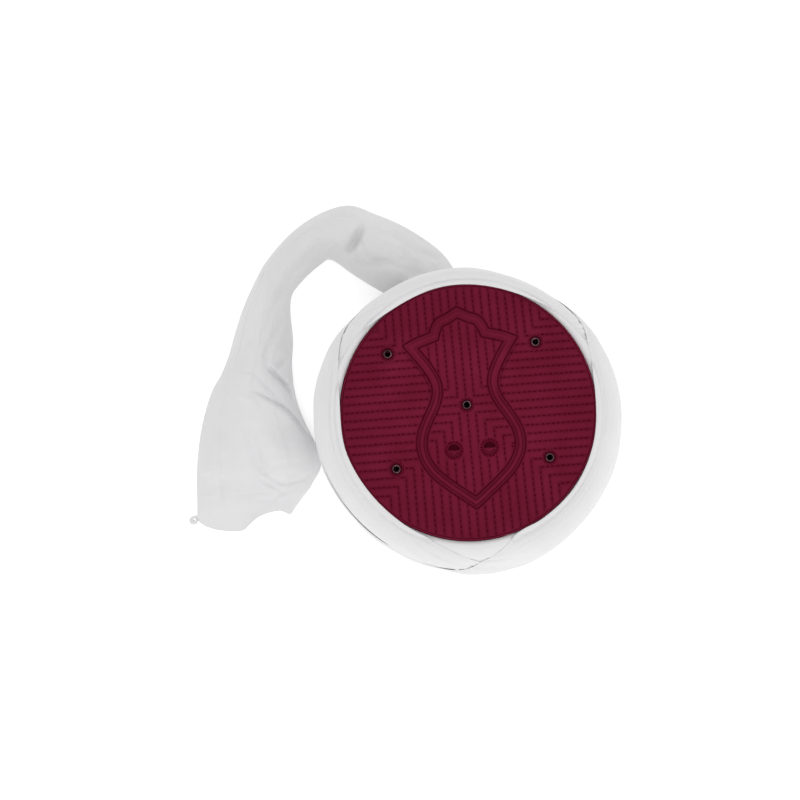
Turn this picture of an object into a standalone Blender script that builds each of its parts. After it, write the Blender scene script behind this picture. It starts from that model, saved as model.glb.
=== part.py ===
"""A turban: a flat-topped quilted cap, fine white cloth wound round it, and the cloth's free
end lying beside it. Units are metres. +Z is up, +Y is the back of the head, and the cap stands
on its rim at z = 0. Azimuths are degrees round the cap's axis, anticlockwise from +X."""

import bisect
import math
from collections import namedtuple

import bmesh
import bpy
from mathutils import Vector

# Cap
CROWN_RADIUS = 0.087
RIM_RADIUS = 0.093
CAP_HEIGHT = 0.100
CAP_WALL = 0.0024
CROWN_THICKNESS = 0.0026
CROWN_RISE = 0.0022
SEAM_GAP = 0.0003

# Sewn outline on the crown
CREST_BAND = 0.0050
CREST_RELIEF = 0.0008

# Metal eyelets and worked holes
EYELET_HOLE = 0.0019
EYELET_BARREL = 0.0023
EYELET_FLANGE = 0.0028
EYELET_LIP = 0.0006
FIT_GAP = 0.0003
WORKED_HOLE = 0.0040
WORKED_DEPTH = 0.0014
WORKED_RING = 0.0021
WORKED_RISE = 0.0010

# Wound cloth
WRAP_FOOT = 0.0025
WRAP_DROP = 0.0022
WRAP_TOP = CAP_HEIGHT - WRAP_DROP
WRAP_BULGE = 0.0160
WRAP_EDGE = 0.0030
CLOTH_GAP = 0.0004
TURN_THICKNESS = 0.0016
TURN_GAP = 0.0006
TURN_PLEAT = 0.0004
TURN_BUNCHING = 0.050
SECTION_POWER = 0.8

# The cloth's free end
TAIL_STANDOFF = 0.100
TAIL_HEIGHT = 0.034
TAIL_CLEARANCE = 0.0008
TAIL_EDGE = 0.36

# How finely round forms are cut
CAP_SIDES = 48
WRAP_SIDES = 56
WRAP_STEPS = 13
EYELET_SIDES = 12
WORKED_SIDES = 16
TAIL_STEPS_PER_ROW = 2
TAIL_ACROSS = 10

CrestPoint = namedtuple("CrestPoint", "across along corner")
OutlineStep = namedtuple("OutlineStep", "step across along")
Bulge = namedtuple("Bulge", "azimuth share")
TurnEdge = namedtuple("TurnEdge", "azimuth top")
TailRow = namedtuple("TailRow", "row outer_azimuth outer_off inner_azimuth inner_off height")
HemPoint = namedtuple("HemPoint", "across azimuth off")
Fold = namedtuple("Fold", "first_row last_row across_first across_last rise width")
Dent = namedtuple("Dent", "row across rise rows_wide width")

# Right half of the sewn outline, front tip to back tip, in shares of the crown's radius
CREST = (
    CrestPoint(0.000, -0.745, True),
    CrestPoint(0.118, -0.652, False),
    CrestPoint(0.225, -0.565, False),
    CrestPoint(0.323, -0.470, False),
    CrestPoint(0.388, -0.362, False),
    CrestPoint(0.412, -0.258, False),
    CrestPoint(0.396, -0.142, False),
    CrestPoint(0.341, -0.025, False),
    CrestPoint(0.275, 0.090, False),
    CrestPoint(0.246, 0.190, False),
    CrestPoint(0.263, 0.280, False),
    CrestPoint(0.326, 0.395, False),
    CrestPoint(0.437, 0.553, True),
    CrestPoint(0.335, 0.598, False),
    CrestPoint(0.222, 0.632, True),
    CrestPoint(0.200, 0.687, False),
    CrestPoint(0.160, 0.738, False),
    CrestPoint(0.096, 0.764, True),
    CrestPoint(0.000, 0.816, True),
)
# The outline leans to the left, behind this share of the crown's radius
CREST_LEAN = 0.022
CREST_LEAN_BEHIND = -0.3

# Places on the crown, in shares of its radius: name to (to the right, to the back)
EYELETS = {
    "eyelet_centre": (-0.010, 0.055),
    "eyelet_back_left": (-0.590, 0.502),
    "eyelet_back_right": (0.567, 0.500),
    "eyelet_front_left": (-0.597, -0.396),
    "eyelet_front_right": (0.598, -0.406),
}
WORKED_EYELETS = {
    "worked_eyelet_left": (-0.139, -0.289),
    "worked_eyelet_right": (0.139, -0.291),
}

# How far the wound cloth stands out, in shares of WRAP_BULGE
WRAP_BULGES = (
    Bulge(0, 0.83),
    Bulge(30, 0.60),
    Bulge(62, 0.43),
    Bulge(90, 0.55),
    Bulge(120, 0.53),
    Bulge(150, 0.59),
    Bulge(180, 0.67),
    Bulge(210, 0.65),
    Bulge(240, 0.74),
    Bulge(268, 0.80),
    Bulge(290, 1.00),
    Bulge(320, 0.92),
    Bulge(342, 0.91),
)

# Upper edge of each last turn, in shares of the wrap's section: 0 is its foot, 1 its top
TURNS = {
    "turn_back": (
        TurnEdge(5, 0.72),
        TurnEdge(30, 0.93),
        TurnEdge(55, 1.02),
        TurnEdge(95, 1.03),
        TurnEdge(130, 1.02),
        TurnEdge(160, 0.88),
        TurnEdge(190, 0.62),
        TurnEdge(230, 0.46),
        TurnEdge(270, 0.42),
        TurnEdge(320, 0.46),
    ),
    "turn_left": (
        TurnEdge(20, 0.46),
        TurnEdge(70, 0.48),
        TurnEdge(112, 0.50),
        TurnEdge(134, 0.60),
        TurnEdge(150, 0.86),
        TurnEdge(165, 1.01),
        TurnEdge(195, 1.03),
        TurnEdge(215, 1.037),
        TurnEdge(235, 1.026),
        TurnEdge(252, 0.99),
        TurnEdge(264, 0.86),
        TurnEdge(280, 0.64),
        TurnEdge(310, 0.50),
        TurnEdge(345, 0.46),
    ),
    "turn_right": (
        TurnEdge(5, 1.03),
        TurnEdge(20, 0.98),
        TurnEdge(33, 0.80),
        TurnEdge(50, 0.60),
        TurnEdge(75, 0.50),
        TurnEdge(130, 0.48),
        TurnEdge(190, 0.52),
        TurnEdge(235, 0.52),
        TurnEdge(260, 0.64),
        TurnEdge(274, 0.85),
        TurnEdge(285, 1.01),
        TurnEdge(300, 1.026),
        TurnEdge(320, 1.024),
        TurnEdge(340, 1.03),
    ),
}
LOWEST_FOOT = 0.05
LOWEST_TOP = 0.42
FOOT_PER_TOP = 0.72
TURN_COLUMNS = (0.0, 0.17, 0.34, 0.51, 0.68, 0.84, 0.94, 1.0)
LAP_MARGIN = 0.10
LAP_RAMP = 0.10
CROWN_LAP_FROM = 0.8
CROWN_LAP_TO = 1.4

# The tail's two edges seen from above. The off columns are how far outside the wound cloth an
# edge lies, in shares of TAIL_STANDOFF, and height is a share of TAIL_HEIGHT.
TAIL_ROWS = (
    TailRow(0, 87.0, -0.060, 109.0, -0.090, 0.92),
    TailRow(1, 91.2, 0.140, 115.0, -0.045, 0.96),
    TailRow(2, 99.1, 0.345, 119.4, 0.104, 0.95),
    TailRow(3, 107.9, 0.576, 122.6, 0.276, 0.93),
    TailRow(4, 114.0, 0.742, 125.0, 0.464, 0.96),
    TailRow(5, 124.3, 0.792, 128.2, 0.480, 0.82),
    TailRow(6, 136.3, 0.790, 136.4, 0.485, 0.76),
    TailRow(7, 144.1, 0.742, 140.9, 0.460, 0.74),
    TailRow(8, 158.0, 0.700, 150.2, 0.310, 0.74),
    TailRow(9, 164.7, 0.730, 158.5, 0.222, 0.75),
    TailRow(10, 171.3, 0.790, 167.4, 0.145, 0.72),
    TailRow(11, 182.9, 0.880, 184.6, 0.020, 0.64),
    TailRow(12, 188.0, 0.928, 193.9, 0.030, 0.54),
    TailRow(13, 192.4, 0.972, 199.8, 0.165, 0.38),
)
HEM_ROW = 14
HEM_HEIGHT = 0.13
TAIL_HEM = (
    HemPoint(0.00, 203.5, 0.340),
    HemPoint(0.10, 204.4, 0.390),
    HemPoint(0.20, 202.1, 0.445),
    HemPoint(0.36, 201.1, 0.590),
    HemPoint(0.50, 201.9, 0.700),
    HemPoint(0.66, 202.2, 0.770),
    HemPoint(0.82, 199.6, 0.930),
    HemPoint(0.93, 197.4, 1.010),
    HemPoint(1.00, 195.8, 1.065),
)
TAIL_FOLDS = (
    Fold(-0.5, 4.2, 0.26, 0.34, 0.10, 0.13),
    Fold(0.4, 3.8, 0.58, 0.44, -0.24, 0.09),
    Fold(-0.5, 4.5, 0.80, 0.72, 0.10, 0.13),
    Fold(4.2, 9.0, 0.62, 0.56, 0.12, 0.14),
    Fold(4.6, 8.6, 0.34, 0.30, -0.20, 0.08),
    Fold(8.0, 10.8, 0.10, 0.42, -0.34, 0.09),
    Fold(9.6, 12.6, 0.52, 0.20, 0.14, 0.13),
    Fold(10.4, 13.4, 0.40, 0.34, -0.22, 0.08),
    Fold(9.5, 13.6, 0.70, 0.62, 0.12, 0.16),
    Fold(9.0, 13.4, 0.86, 0.84, -0.14, 0.07),
)
TAIL_DENTS = (
    Dent(4.0, 0.44, -0.42, 0.60, 0.16),
    Dent(9.3, 0.14, -0.30, 0.50, 0.10),
)

MAROON = (0.138, 0.0075, 0.0252, 1.0)
THREAD_MAROON = (0.090, 0.0035, 0.0150, 1.0)
WHITE_VOILE = (0.730, 0.716, 0.722, 1.0)
DULL_METAL = (0.200, 0.180, 0.195, 1.0)


def clear_scene():
    for obj in list(bpy.data.objects):
        bpy.data.objects.remove(obj, do_unlink=True)


def material(name, colour, roughness, metallic=0.0):
    made = bpy.data.materials.new(name)
    made.use_nodes = True
    shader = made.node_tree.nodes["Principled BSDF"]
    shader.inputs["Base Color"].default_value = colour
    shader.inputs["Roughness"].default_value = roughness
    shader.inputs["Metallic"].default_value = metallic
    return made


def add_object(name, mesh, look, parent=None, place=(0.0, 0.0, 0.0)):
    obj = bpy.data.objects.new(name, mesh)
    bpy.context.scene.collection.objects.link(obj)
    if look:
        mesh.materials.append(look)
    obj.parent = parent
    obj.location = place
    return obj


def mesh_from(name, points, faces):
    """A mesh with its faces turned outwards and its round surfaces smooth."""
    shape = bmesh.new()
    corners = [shape.verts.new(point) for point in points]
    for face in faces:
        shape.faces.new([corners[index] for index in face])
    bmesh.ops.recalc_face_normals(shape, faces=shape.faces)
    mesh = bpy.data.meshes.new(name)
    shape.to_mesh(mesh)
    shape.free()
    mesh.shade_smooth()
    mesh.set_sharp_from_angle(angle=math.radians(40))
    return mesh


def smooth_step(low, high, value):
    share = min(max((value - low) / (high - low), 0.0), 1.0)
    return share * share * (3.0 - 2.0 * share)


def read(rows, column, at, whole=None):
    """A table's column at a place between its rows, on a smooth curve through them. A row's
    first value is its place, and whole is the period of a table that goes right round."""
    places = [row[0] for row in rows]
    values = [getattr(row, column) for row in rows]
    if whole:
        at = places[0] + (at - places[0]) % whole
        places = [places[-1] - whole] + places + [places[0] + whole, places[1] + whole]
        values = [values[-1]] + values + values[:2]
    at = min(max(at, places[0]), places[-1])
    last = len(places) - 1
    index = min(bisect.bisect_right(places, at) - 1, last - 1)

    def slope(here):
        before = max(here - 1, 0)
        after = min(here + 1, last)
        return (values[after] - values[before]) / (places[after] - places[before])

    span = places[index + 1] - places[index]
    t = (at - places[index]) / span
    start = (2 * t**3 - 3 * t**2 + 1) * values[index] + (t**3 - 2 * t**2 + t) * span * slope(index)
    end = (3 * t**2 - 2 * t**3) * values[index + 1] + (t**3 - t**2) * span * slope(index + 1)
    return start + end


def polar(azimuth, radius, z):
    angle = math.radians(azimuth)
    return Vector((radius * math.cos(angle), radius * math.sin(angle), z))


def loft(name, rings, closed):
    """A closed skin through rings of equally many points. An open loft's ends are filled by
    strips between the ring's two sides, which meet at its first point and its middle one."""
    count = len(rings[0])
    half = count // 2
    points = [point for ring in rings for point in ring]
    faces = []
    for ring in range(len(rings) if closed else len(rings) - 1):
        here = ring * count
        after = (ring + 1) % len(rings) * count
        for side in range(count):
            following = (side + 1) % count
            faces.append((here + side, here + following, after + following, after + side))
    if not closed:
        for start in (0, (len(rings) - 1) * count):
            faces.append((start, start + 1, start + count - 1))
            faces.append((start + half - 1, start + half, start + half + 1))
            for side in range(1, half - 1):
                near = (start + side, start + side + 1)
                far = (start + count - side - 1, start + count - side)
                faces.append(near + far)
    return mesh_from(name, points, faces)


def turned(name, section, sides):
    """A ring turned about Z from a closed section of (radius, height) points."""
    step = 360.0 / sides
    rings = [[polar(side * step, radius, z) for radius, z in section] for side in range(sides)]
    return loft(name, rings, closed=True)


def cap_radius(z):
    """Outer radius of the cap's wall, which narrows from the rim to the crown."""
    return RIM_RADIUS + (CROWN_RADIUS - RIM_RADIUS) * z / CAP_HEIGHT


def crown_top(radius):
    """Height of the crown's upper face, which is slightly domed."""
    return CAP_HEIGHT + CROWN_RISE * (1.0 - (radius / CROWN_RADIUS) ** 2)


def crown_place(shares):
    """A point on the crown's upper face from its two shares of the crown's radius."""
    x = shares[0] * CROWN_RADIUS
    y = shares[1] * CROWN_RADIUS
    return Vector((x, y, crown_top(math.hypot(x, y))))


def make_side_band(look, parent):
    top = CAP_HEIGHT - CROWN_THICKNESS - SEAM_GAP
    section = [
        (cap_radius(0.0), 0.0),
        (cap_radius(top), top),
        (cap_radius(top) - CAP_WALL, top),
        (cap_radius(0.0) - CAP_WALL, 0.0),
    ]
    add_object("side_band", turned("side_band", section, CAP_SIDES), look, parent)


def crest_outline():
    """The sewn outline's outer edge, anticlockwise from its front tip."""
    right = []
    start = 0
    for index, point in enumerate(CREST):
        if not point.corner or index == 0:
            continue
        stretch = CREST[start : index + 1]
        rows = [OutlineStep(step, row.across, row.along) for step, row in enumerate(stretch)]
        for step in range(len(rows) - 1):
            right.append((read(rows, "across", step), read(rows, "along", step)))
            if len(rows) > 4:
                right.append((read(rows, "across", step + 0.5), read(rows, "along", step + 0.5)))
        start = index
    right.append((CREST[-1].across, CREST[-1].along))
    left = [(-x, y) for x, y in reversed(right[1:-1])]
    outline = []
    for x, y in right + left:
        lean = CREST_LEAN * max(y - CREST_LEAN_BEHIND, 0.0)
        outline.append(Vector(((x - lean) * CROWN_RADIUS, y * CROWN_RADIUS)))
    return outline


def inset(outline, width):
    """An anticlockwise outline moved inwards, with mitred corners."""
    moved = []
    for index, point in enumerate(outline):
        before = (point - outline[index - 1]).normalized()
        after = (outline[(index + 1) % len(outline)] - point).normalized()
        mitre = Vector((-before.y - after.y, before.x + after.x)).normalized()
        moved.append(point + mitre * width / mitre.dot(Vector((-after.y, after.x))))
    return moved


def crest_band_mesh(low, high):
    """The band between the two sewn outlines, as a solid from low to high."""
    outer = crest_outline()
    inner = inset(outer, CREST_BAND)
    rings = []
    for outside, inside in zip(outer, inner):
        rings.append(
            [
                Vector((outside.x, outside.y, low)),
                Vector((outside.x, outside.y, high)),
                Vector((inside.x, inside.y, high)),
                Vector((inside.x, inside.y, low)),
            ]
        )
    return loft("crest_band", rings, closed=True)


def flat_disc_mesh(radius, low, high, shares):
    """A flat disc with rings of edges, so that it can be domed."""
    step = math.tau / CAP_SIDES
    points = [Vector((0.0, 0.0, low)), Vector((0.0, 0.0, high))]
    for share in shares:
        for side in range(CAP_SIDES):
            spot = Vector((math.cos(side * step), math.sin(side * step), 0.0)) * radius * share
            points.append(spot + Vector((0.0, 0.0, low)))
            points.append(spot + Vector((0.0, 0.0, high)))
    faces = []
    for side in range(CAP_SIDES):
        after = (side + 1) % CAP_SIDES
        for level in (0, 1):
            here = [2 + (ring * CAP_SIDES + side) * 2 + level for ring in range(len(shares))]
            there = [2 + (ring * CAP_SIDES + after) * 2 + level for ring in range(len(shares))]
            faces.append((level, here[0], there[0]))
            for ring in range(len(shares) - 1):
                faces.append((here[ring], here[ring + 1], there[ring + 1], there[ring]))
        rim = 2 + ((len(shares) - 1) * CAP_SIDES + side) * 2
        next_rim = 2 + ((len(shares) - 1) * CAP_SIDES + after) * 2
        faces.append((rim, rim + 1, next_rim + 1, next_rim))
    return mesh_from("flat_disc", points, faces)


def drill_mesh(radius, low, high, sides):
    shape = bmesh.new()
    bmesh.ops.create_cone(
        shape,
        cap_ends=True,
        segments=sides,
        radius1=radius,
        radius2=radius,
        depth=high - low,
    )
    bmesh.ops.translate(shape, verts=shape.verts, vec=(0.0, 0.0, (low + high) / 2))
    mesh = bpy.data.meshes.new("drill")
    shape.to_mesh(mesh)
    shape.free()
    return mesh


def make_crown_panel(look, parent):
    """The quilted top: a flat disc joined to the raised band and drilled, and domed last."""
    low = CAP_HEIGHT - CROWN_THICKNESS
    high = CAP_HEIGHT
    disc = flat_disc_mesh(CROWN_RADIUS, low, high, (0.4, 0.8, 1.0))
    panel = add_object("crown_panel", disc, look, parent)
    band = crest_band_mesh(low + CROWN_THICKNESS / 2, high + CREST_RELIEF)
    tools = [(add_object("crest_band", band, look, parent), "UNION")]
    beyond = CROWN_THICKNESS
    through = drill_mesh(EYELET_BARREL + FIT_GAP, low - beyond, high + beyond, EYELET_SIDES)
    for shares in EYELETS.values():
        place = (shares[0] * CROWN_RADIUS, shares[1] * CROWN_RADIUS, 0.0)
        tools.append((add_object("drill", through, None, parent, place), "DIFFERENCE"))
    blind = drill_mesh(WORKED_HOLE, high - WORKED_DEPTH, high + beyond, WORKED_SIDES)
    for shares in WORKED_EYELETS.values():
        place = (shares[0] * CROWN_RADIUS, shares[1] * CROWN_RADIUS, 0.0)
        tools.append((add_object("drill", blind, None, parent, place), "DIFFERENCE"))
    for tool, operation in tools:
        cut = panel.modifiers.new(operation.lower(), "BOOLEAN")
        cut.operation = operation
        cut.object = tool
    graph = bpy.context.evaluated_depsgraph_get()
    whole = bpy.data.meshes.new_from_object(panel.evaluated_get(graph))
    panel.modifiers.clear()
    panel.data = whole
    whole.name = "crown_panel"
    for tool, _ in tools:
        bpy.data.objects.remove(tool, do_unlink=True)
    for corner in whole.vertices:
        radius = math.hypot(corner.co.x, corner.co.y)
        corner.co.z += crown_top(radius) - CAP_HEIGHT


def make_eyelets(look, parent):
    """Metal eyelets: a flange on the crown and a barrel down through it."""
    barrel_foot = -CROWN_THICKNESS
    flange = SEAM_GAP
    lip = flange + EYELET_LIP
    section = [
        (EYELET_HOLE, barrel_foot),
        (EYELET_BARREL, barrel_foot),
        (EYELET_BARREL, flange),
        (EYELET_FLANGE, flange),
        (EYELET_FLANGE, lip),
        ((EYELET_HOLE + EYELET_FLANGE) / 2, lip + EYELET_LIP / 2),
        (EYELET_HOLE, lip),
    ]
    mesh = turned("eyelet", section, EYELET_SIDES)
    mesh.materials.append(look)
    for name, shares in EYELETS.items():
        add_object(name, mesh, None, parent, crown_place(shares))


def make_worked_eyelets(look, parent):
    """Raised rings of thread round the two pressed holes."""
    inner = WORKED_HOLE + FIT_GAP
    middle = inner + WORKED_RING / 2
    outer = inner + WORKED_RING
    section = [
        (inner, SEAM_GAP),
        (outer, SEAM_GAP),
        (outer, SEAM_GAP + WORKED_RISE / 2),
        (middle, SEAM_GAP + WORKED_RISE),
        (inner, SEAM_GAP + WORKED_RISE / 2),
    ]
    mesh = turned("worked_eyelet", section, WORKED_SIDES)
    mesh.materials.append(look)
    for name, shares in WORKED_EYELETS.items():
        add_object(name, mesh, None, parent, crown_place(shares))


def section_point(azimuth, share):
    """Radius and height of the wound core's outer face. Past its top the curve goes on flat,
    towards the cap's axis."""
    angle = math.pi * min(share, 1.0)
    z = WRAP_FOOT + (WRAP_TOP - WRAP_FOOT) * (1.0 - math.cos(angle)) / 2.0
    out = WRAP_BULGE * read(WRAP_BULGES, "share", azimuth, 360.0) - WRAP_EDGE
    radius = cap_radius(z) + CLOTH_GAP + WRAP_EDGE + out * max(math.sin(angle), 0.0) ** SECTION_POWER
    return radius - max(share - 1.0, 0.0) * (WRAP_TOP - WRAP_FOOT) * 1.2, z


def section_normal(azimuth, share):
    step = 0.01
    share = min(share, 1.0 - step)
    before = section_point(azimuth, max(share - step, 0.0))
    after = section_point(azimuth, share + step)
    along_r = after[0] - before[0]
    along_z = after[1] - before[1]
    length = math.hypot(along_r, along_z)
    return along_z / length, -along_r / length


def turn_span(edges, azimuth):
    """Lower and upper edge of a turn of cloth, in shares of the wrap's section."""
    top = read(edges, "top", azimuth, 360.0)
    return LOWEST_FOOT + FOOT_PER_TOP * (top - LOWEST_TOP), top


def bunching(edges, azimuth):
    """Extra height of a turn where it climbs steeply, by share of the section for a degree."""
    climb = turn_span(edges, azimuth + 3.0)[1] - turn_span(edges, azimuth - 3.0)[1]
    return TURN_BUNCHING * abs(climb) / 6.0


def lift(level, azimuth, share):
    """How high a turn lies there over the wound core: on the turns under it and its gap."""
    turns = list(TURNS.values())
    highest = 0.0
    for lower, edges in enumerate(turns[:level]):
        foot, top = turn_span(edges, azimuth)
        outside = max(foot - share, share - top, 0.0)
        cover = 1.0 - smooth_step(LAP_MARGIN, LAP_MARGIN + LAP_RAMP, outside)
        if cover > 0.0:
            own = lift(lower, azimuth, share) + TURN_THICKNESS + TURN_PLEAT
            highest = max(highest, cover * own)
    return highest + TURN_GAP + bunching(turns[level], azimuth)


def crown_rise(radius, z):
    """How far cloth at this point of the section rises to lap over the crown's edge."""
    outside = (radius - CROWN_RADIUS) / WRAP_EDGE
    near = 1.0 - smooth_step(CROWN_LAP_FROM, CROWN_LAP_TO, outside)
    return near * max(crown_top(min(radius, CROWN_RADIUS)) - z, 0.0)


def turn_point(level, azimuth, share, out):
    """Radius and height of a point that stands out by this much over what a turn lies on."""
    radius, z = section_point(azimuth, share)
    normal = section_normal(azimuth, share)
    out += lift(level, azimuth, share)
    return radius + normal[0] * out, z + normal[1] * out + crown_rise(radius, z)


def make_wrap_core(look, parent):
    rings = []
    for side in range(WRAP_SIDES):
        azimuth = side * 360.0 / WRAP_SIDES
        ring = [polar(azimuth, cap_radius(WRAP_FOOT) + CLOTH_GAP, WRAP_FOOT)]
        for step in range(WRAP_STEPS + 1):
            radius, z = section_point(azimuth, step / WRAP_STEPS)
            ring.append(polar(azimuth, radius, z))
        ring.append(polar(azimuth, cap_radius(WRAP_TOP) + CLOTH_GAP, WRAP_TOP))
        rings.append(ring)
    add_object("wrap_core", loft("wrap_core", rings, closed=True), look, parent)


def turn_thickness(column):
    """Thickness of a turn across its width: thin at its edges, with low pleats between."""
    across = TURN_COLUMNS[column]
    full = 0.45 + 0.55 * math.sin(math.pi * across) ** 0.5
    inside = 0 < column < len(TURN_COLUMNS) - 1
    pleat = TURN_PLEAT if inside and column % 2 else 0.0
    return TURN_THICKNESS * full + pleat


def make_turn(level, name, edges, look, parent):
    """One turn of the cloth, right round the wound core."""
    rings = []
    for side in range(WRAP_SIDES):
        azimuth = side * 360.0 / WRAP_SIDES
        foot, top = turn_span(edges, azimuth)
        outer = []
        inner = []
        for column, across in enumerate(TURN_COLUMNS):
            share = foot + (top - foot) * across
            outer.append(polar(azimuth, *turn_point(level, azimuth, share, turn_thickness(column))))
            inner.append(polar(azimuth, *turn_point(level, azimuth, share, 0.0)))
        rings.append(outer + inner[::-1])
    add_object(name, loft(name, rings, closed=True), look, parent)


def wrap_reach(azimuth, z):
    """Greatest radius of all the wound cloth at this height."""
    z = max(z, WRAP_FOOT * 3)
    reach = cap_radius(z)
    outlines = [[section_point(azimuth, step / 24.0) for step in range(25)]]
    for level, edges in enumerate(TURNS.values()):
        foot, top = turn_span(edges, azimuth)
        shares = [foot + (top - foot) * step / 16.0 for step in range(17)]
        full = TURN_THICKNESS + TURN_PLEAT
        outlines.append([turn_point(level, azimuth, share, full) for share in shares])
    for outline in outlines:
        for here, after in zip(outline, outline[1:]):
            if min(here[1], after[1]) <= z <= max(here[1], after[1]) and after[1] != here[1]:
                share = (z - here[1]) / (after[1] - here[1])
                reach = max(reach, here[0] + (after[0] - here[0]) * share)
    return reach


def tail_edge_point(azimuth, off):
    """A point of the tail's outline seen from above, this share outside the wound cloth."""
    middle = (WRAP_FOOT + WRAP_TOP) / 2
    seat = cap_radius(middle) + CLOTH_GAP
    out = WRAP_BULGE * read(WRAP_BULGES, "share", azimuth, 360.0)
    turns = len(TURNS) * (TURN_GAP + TURN_THICKNESS)
    return polar(azimuth, seat + out + turns + off * TAIL_STANDOFF, 0.0)


def tail_plan(row, across):
    """Where the tail's cloth lies seen from above, from its inner edge to its outer one."""
    straight = min(row, TAIL_ROWS[-1].row)
    edges = []
    for side in ("inner", "outer"):
        azimuth = read(TAIL_ROWS, side + "_azimuth", straight)
        edges.append(tail_edge_point(azimuth, read(TAIL_ROWS, side + "_off", straight)))
    place = edges[0].lerp(edges[1], across)
    if row > straight:
        azimuth = read(TAIL_HEM, "azimuth", across)
        hem = tail_edge_point(azimuth, read(TAIL_HEM, "off", across))
        place = place.lerp(hem, (row - straight) / (HEM_ROW - straight))
    return place


def tail_height(row, across):
    """Height of the tail's upper face: a low mound with folds along it."""
    straight = min(row, TAIL_ROWS[-1].row)
    full = read(TAIL_ROWS, "height", straight)
    if row > straight:
        full += (HEM_HEIGHT - full) * (row - straight) / (HEM_ROW - straight)
    mound = max(math.sin(math.pi * across), 0.0) ** 0.7
    relief = 1.0
    for fold in TAIL_FOLDS:
        share = (row - fold.first_row) / (fold.last_row - fold.first_row)
        if 0.0 < share < 1.0:
            centre = fold.across_first + (fold.across_last - fold.across_first) * share
            bell = math.exp(-(((across - centre) / fold.width) ** 2))
            relief += fold.rise * bell * math.sin(math.pi * share) ** 0.5
    for dent in TAIL_DENTS:
        away = ((row - dent.row) / dent.rows_wide) ** 2 + ((across - dent.across) / dent.width) ** 2
        relief += dent.rise * math.exp(-away)
    return TAIL_HEIGHT * full * (TAIL_EDGE + (1.0 - TAIL_EDGE) * mound * relief)


def clear_of_wrap(point):
    """The point, moved outwards until it is clear of the wound cloth."""
    radius = math.hypot(point.x, point.y)
    azimuth = math.degrees(math.atan2(point.y, point.x))
    least = wrap_reach(azimuth, point.z) + TAIL_CLEARANCE
    if radius >= least:
        return point
    return Vector((point.x * least / radius, point.y * least / radius, point.z))


def make_tail(look, parent):
    """The free end: a flattened bundle of cloth, lying on the ground."""
    columns = [0.5 - 0.5 * math.cos(math.pi * step / TAIL_ACROSS) for step in range(TAIL_ACROSS + 1)]
    rings = []
    for step in range(HEM_ROW * TAIL_STEPS_PER_ROW + 1):
        row = step / TAIL_STEPS_PER_ROW
        upper = []
        lower = []
        for across in columns:
            place = tail_plan(row, across)
            z = tail_height(row, across)
            upper.append(clear_of_wrap(place + Vector((0.0, 0.0, z))))
            under = 1.0 - smooth_step(0.0, 0.09, min(across, 1.0 - across))
            edge = tail_height(row, 0.0)
            lower.append(clear_of_wrap(place + Vector((0.0, 0.0, edge * under))))
        rings.append(upper + lower[-2:0:-1])
    add_object("tail", loft("tail", rings, closed=False), look, parent)


def stand_on_origin(root):
    """Moves everything so that the origin is at the middle of the bottom of the whole box."""
    bpy.context.view_layer.update()
    corners = []
    for obj in root.children:
        corners += [obj.matrix_world @ Vector(corner) for corner in obj.bound_box]
    for axis in (0, 1):
        values = [corner[axis] for corner in corners]
        root.location[axis] = -(min(values) + max(values)) / 2
    root.location.z = -min(corner.z for corner in corners)
    bpy.context.view_layer.update()


def main():
    clear_scene()
    quilted = material("maroon_quilted_cotton", MAROON, 0.80)
    thread = material("maroon_thread", THREAD_MAROON, 0.65)
    voile = material("white_voile", WHITE_VOILE, 0.85)
    metal = material("eyelet_metal", DULL_METAL, 0.38, 0.9)
    root = bpy.data.objects.new("turban", None)
    bpy.context.scene.collection.objects.link(root)
    make_side_band(quilted, root)
    make_crown_panel(quilted, root)
    make_eyelets(metal, root)
    make_worked_eyelets(thread, root)
    make_wrap_core(voile, root)
    for level, (name, edges) in enumerate(TURNS.items()):
        make_turn(level, name, edges, voile, root)
    make_tail(voile, root)
    stand_on_origin(root)


main()
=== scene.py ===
import math
from collections import namedtuple

import bpy
import numpy as np
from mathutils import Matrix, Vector


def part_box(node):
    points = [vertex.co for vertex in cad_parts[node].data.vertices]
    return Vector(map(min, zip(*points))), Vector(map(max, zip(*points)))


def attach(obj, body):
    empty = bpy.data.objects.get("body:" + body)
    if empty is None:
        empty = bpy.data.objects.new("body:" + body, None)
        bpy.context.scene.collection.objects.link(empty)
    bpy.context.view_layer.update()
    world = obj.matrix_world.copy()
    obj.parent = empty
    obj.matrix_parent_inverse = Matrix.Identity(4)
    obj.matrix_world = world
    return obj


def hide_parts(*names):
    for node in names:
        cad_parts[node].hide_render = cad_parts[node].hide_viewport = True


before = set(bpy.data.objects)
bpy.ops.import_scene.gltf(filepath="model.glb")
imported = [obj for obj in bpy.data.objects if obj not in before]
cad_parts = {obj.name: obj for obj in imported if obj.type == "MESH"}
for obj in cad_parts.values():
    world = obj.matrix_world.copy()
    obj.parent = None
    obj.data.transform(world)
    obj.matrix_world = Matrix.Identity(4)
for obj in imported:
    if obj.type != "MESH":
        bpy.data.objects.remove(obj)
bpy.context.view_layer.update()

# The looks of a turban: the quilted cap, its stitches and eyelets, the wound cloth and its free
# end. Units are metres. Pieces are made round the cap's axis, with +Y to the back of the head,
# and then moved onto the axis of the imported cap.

LOW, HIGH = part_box("side_band")
PANEL_LOW, PANEL_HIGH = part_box("crown_panel")
AXIS = ((LOW[0] + HIGH[0]) / 2, (LOW[1] + HIGH[1]) / 2, 0.0)

# Cap, from the frame
CROWN_THICKNESS = 0.0026
RIM_RADIUS = (HIGH[0] - LOW[0]) / 2
CROWN_RADIUS = (PANEL_HIGH[0] - PANEL_LOW[0]) / 2
CAP_HEIGHT = PANEL_LOW[2] + CROWN_THICKNESS
CAP_WALL = 0.0024
CROWN_RISE = 0.0022
SEAM_GAP = 0.0003

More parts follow.
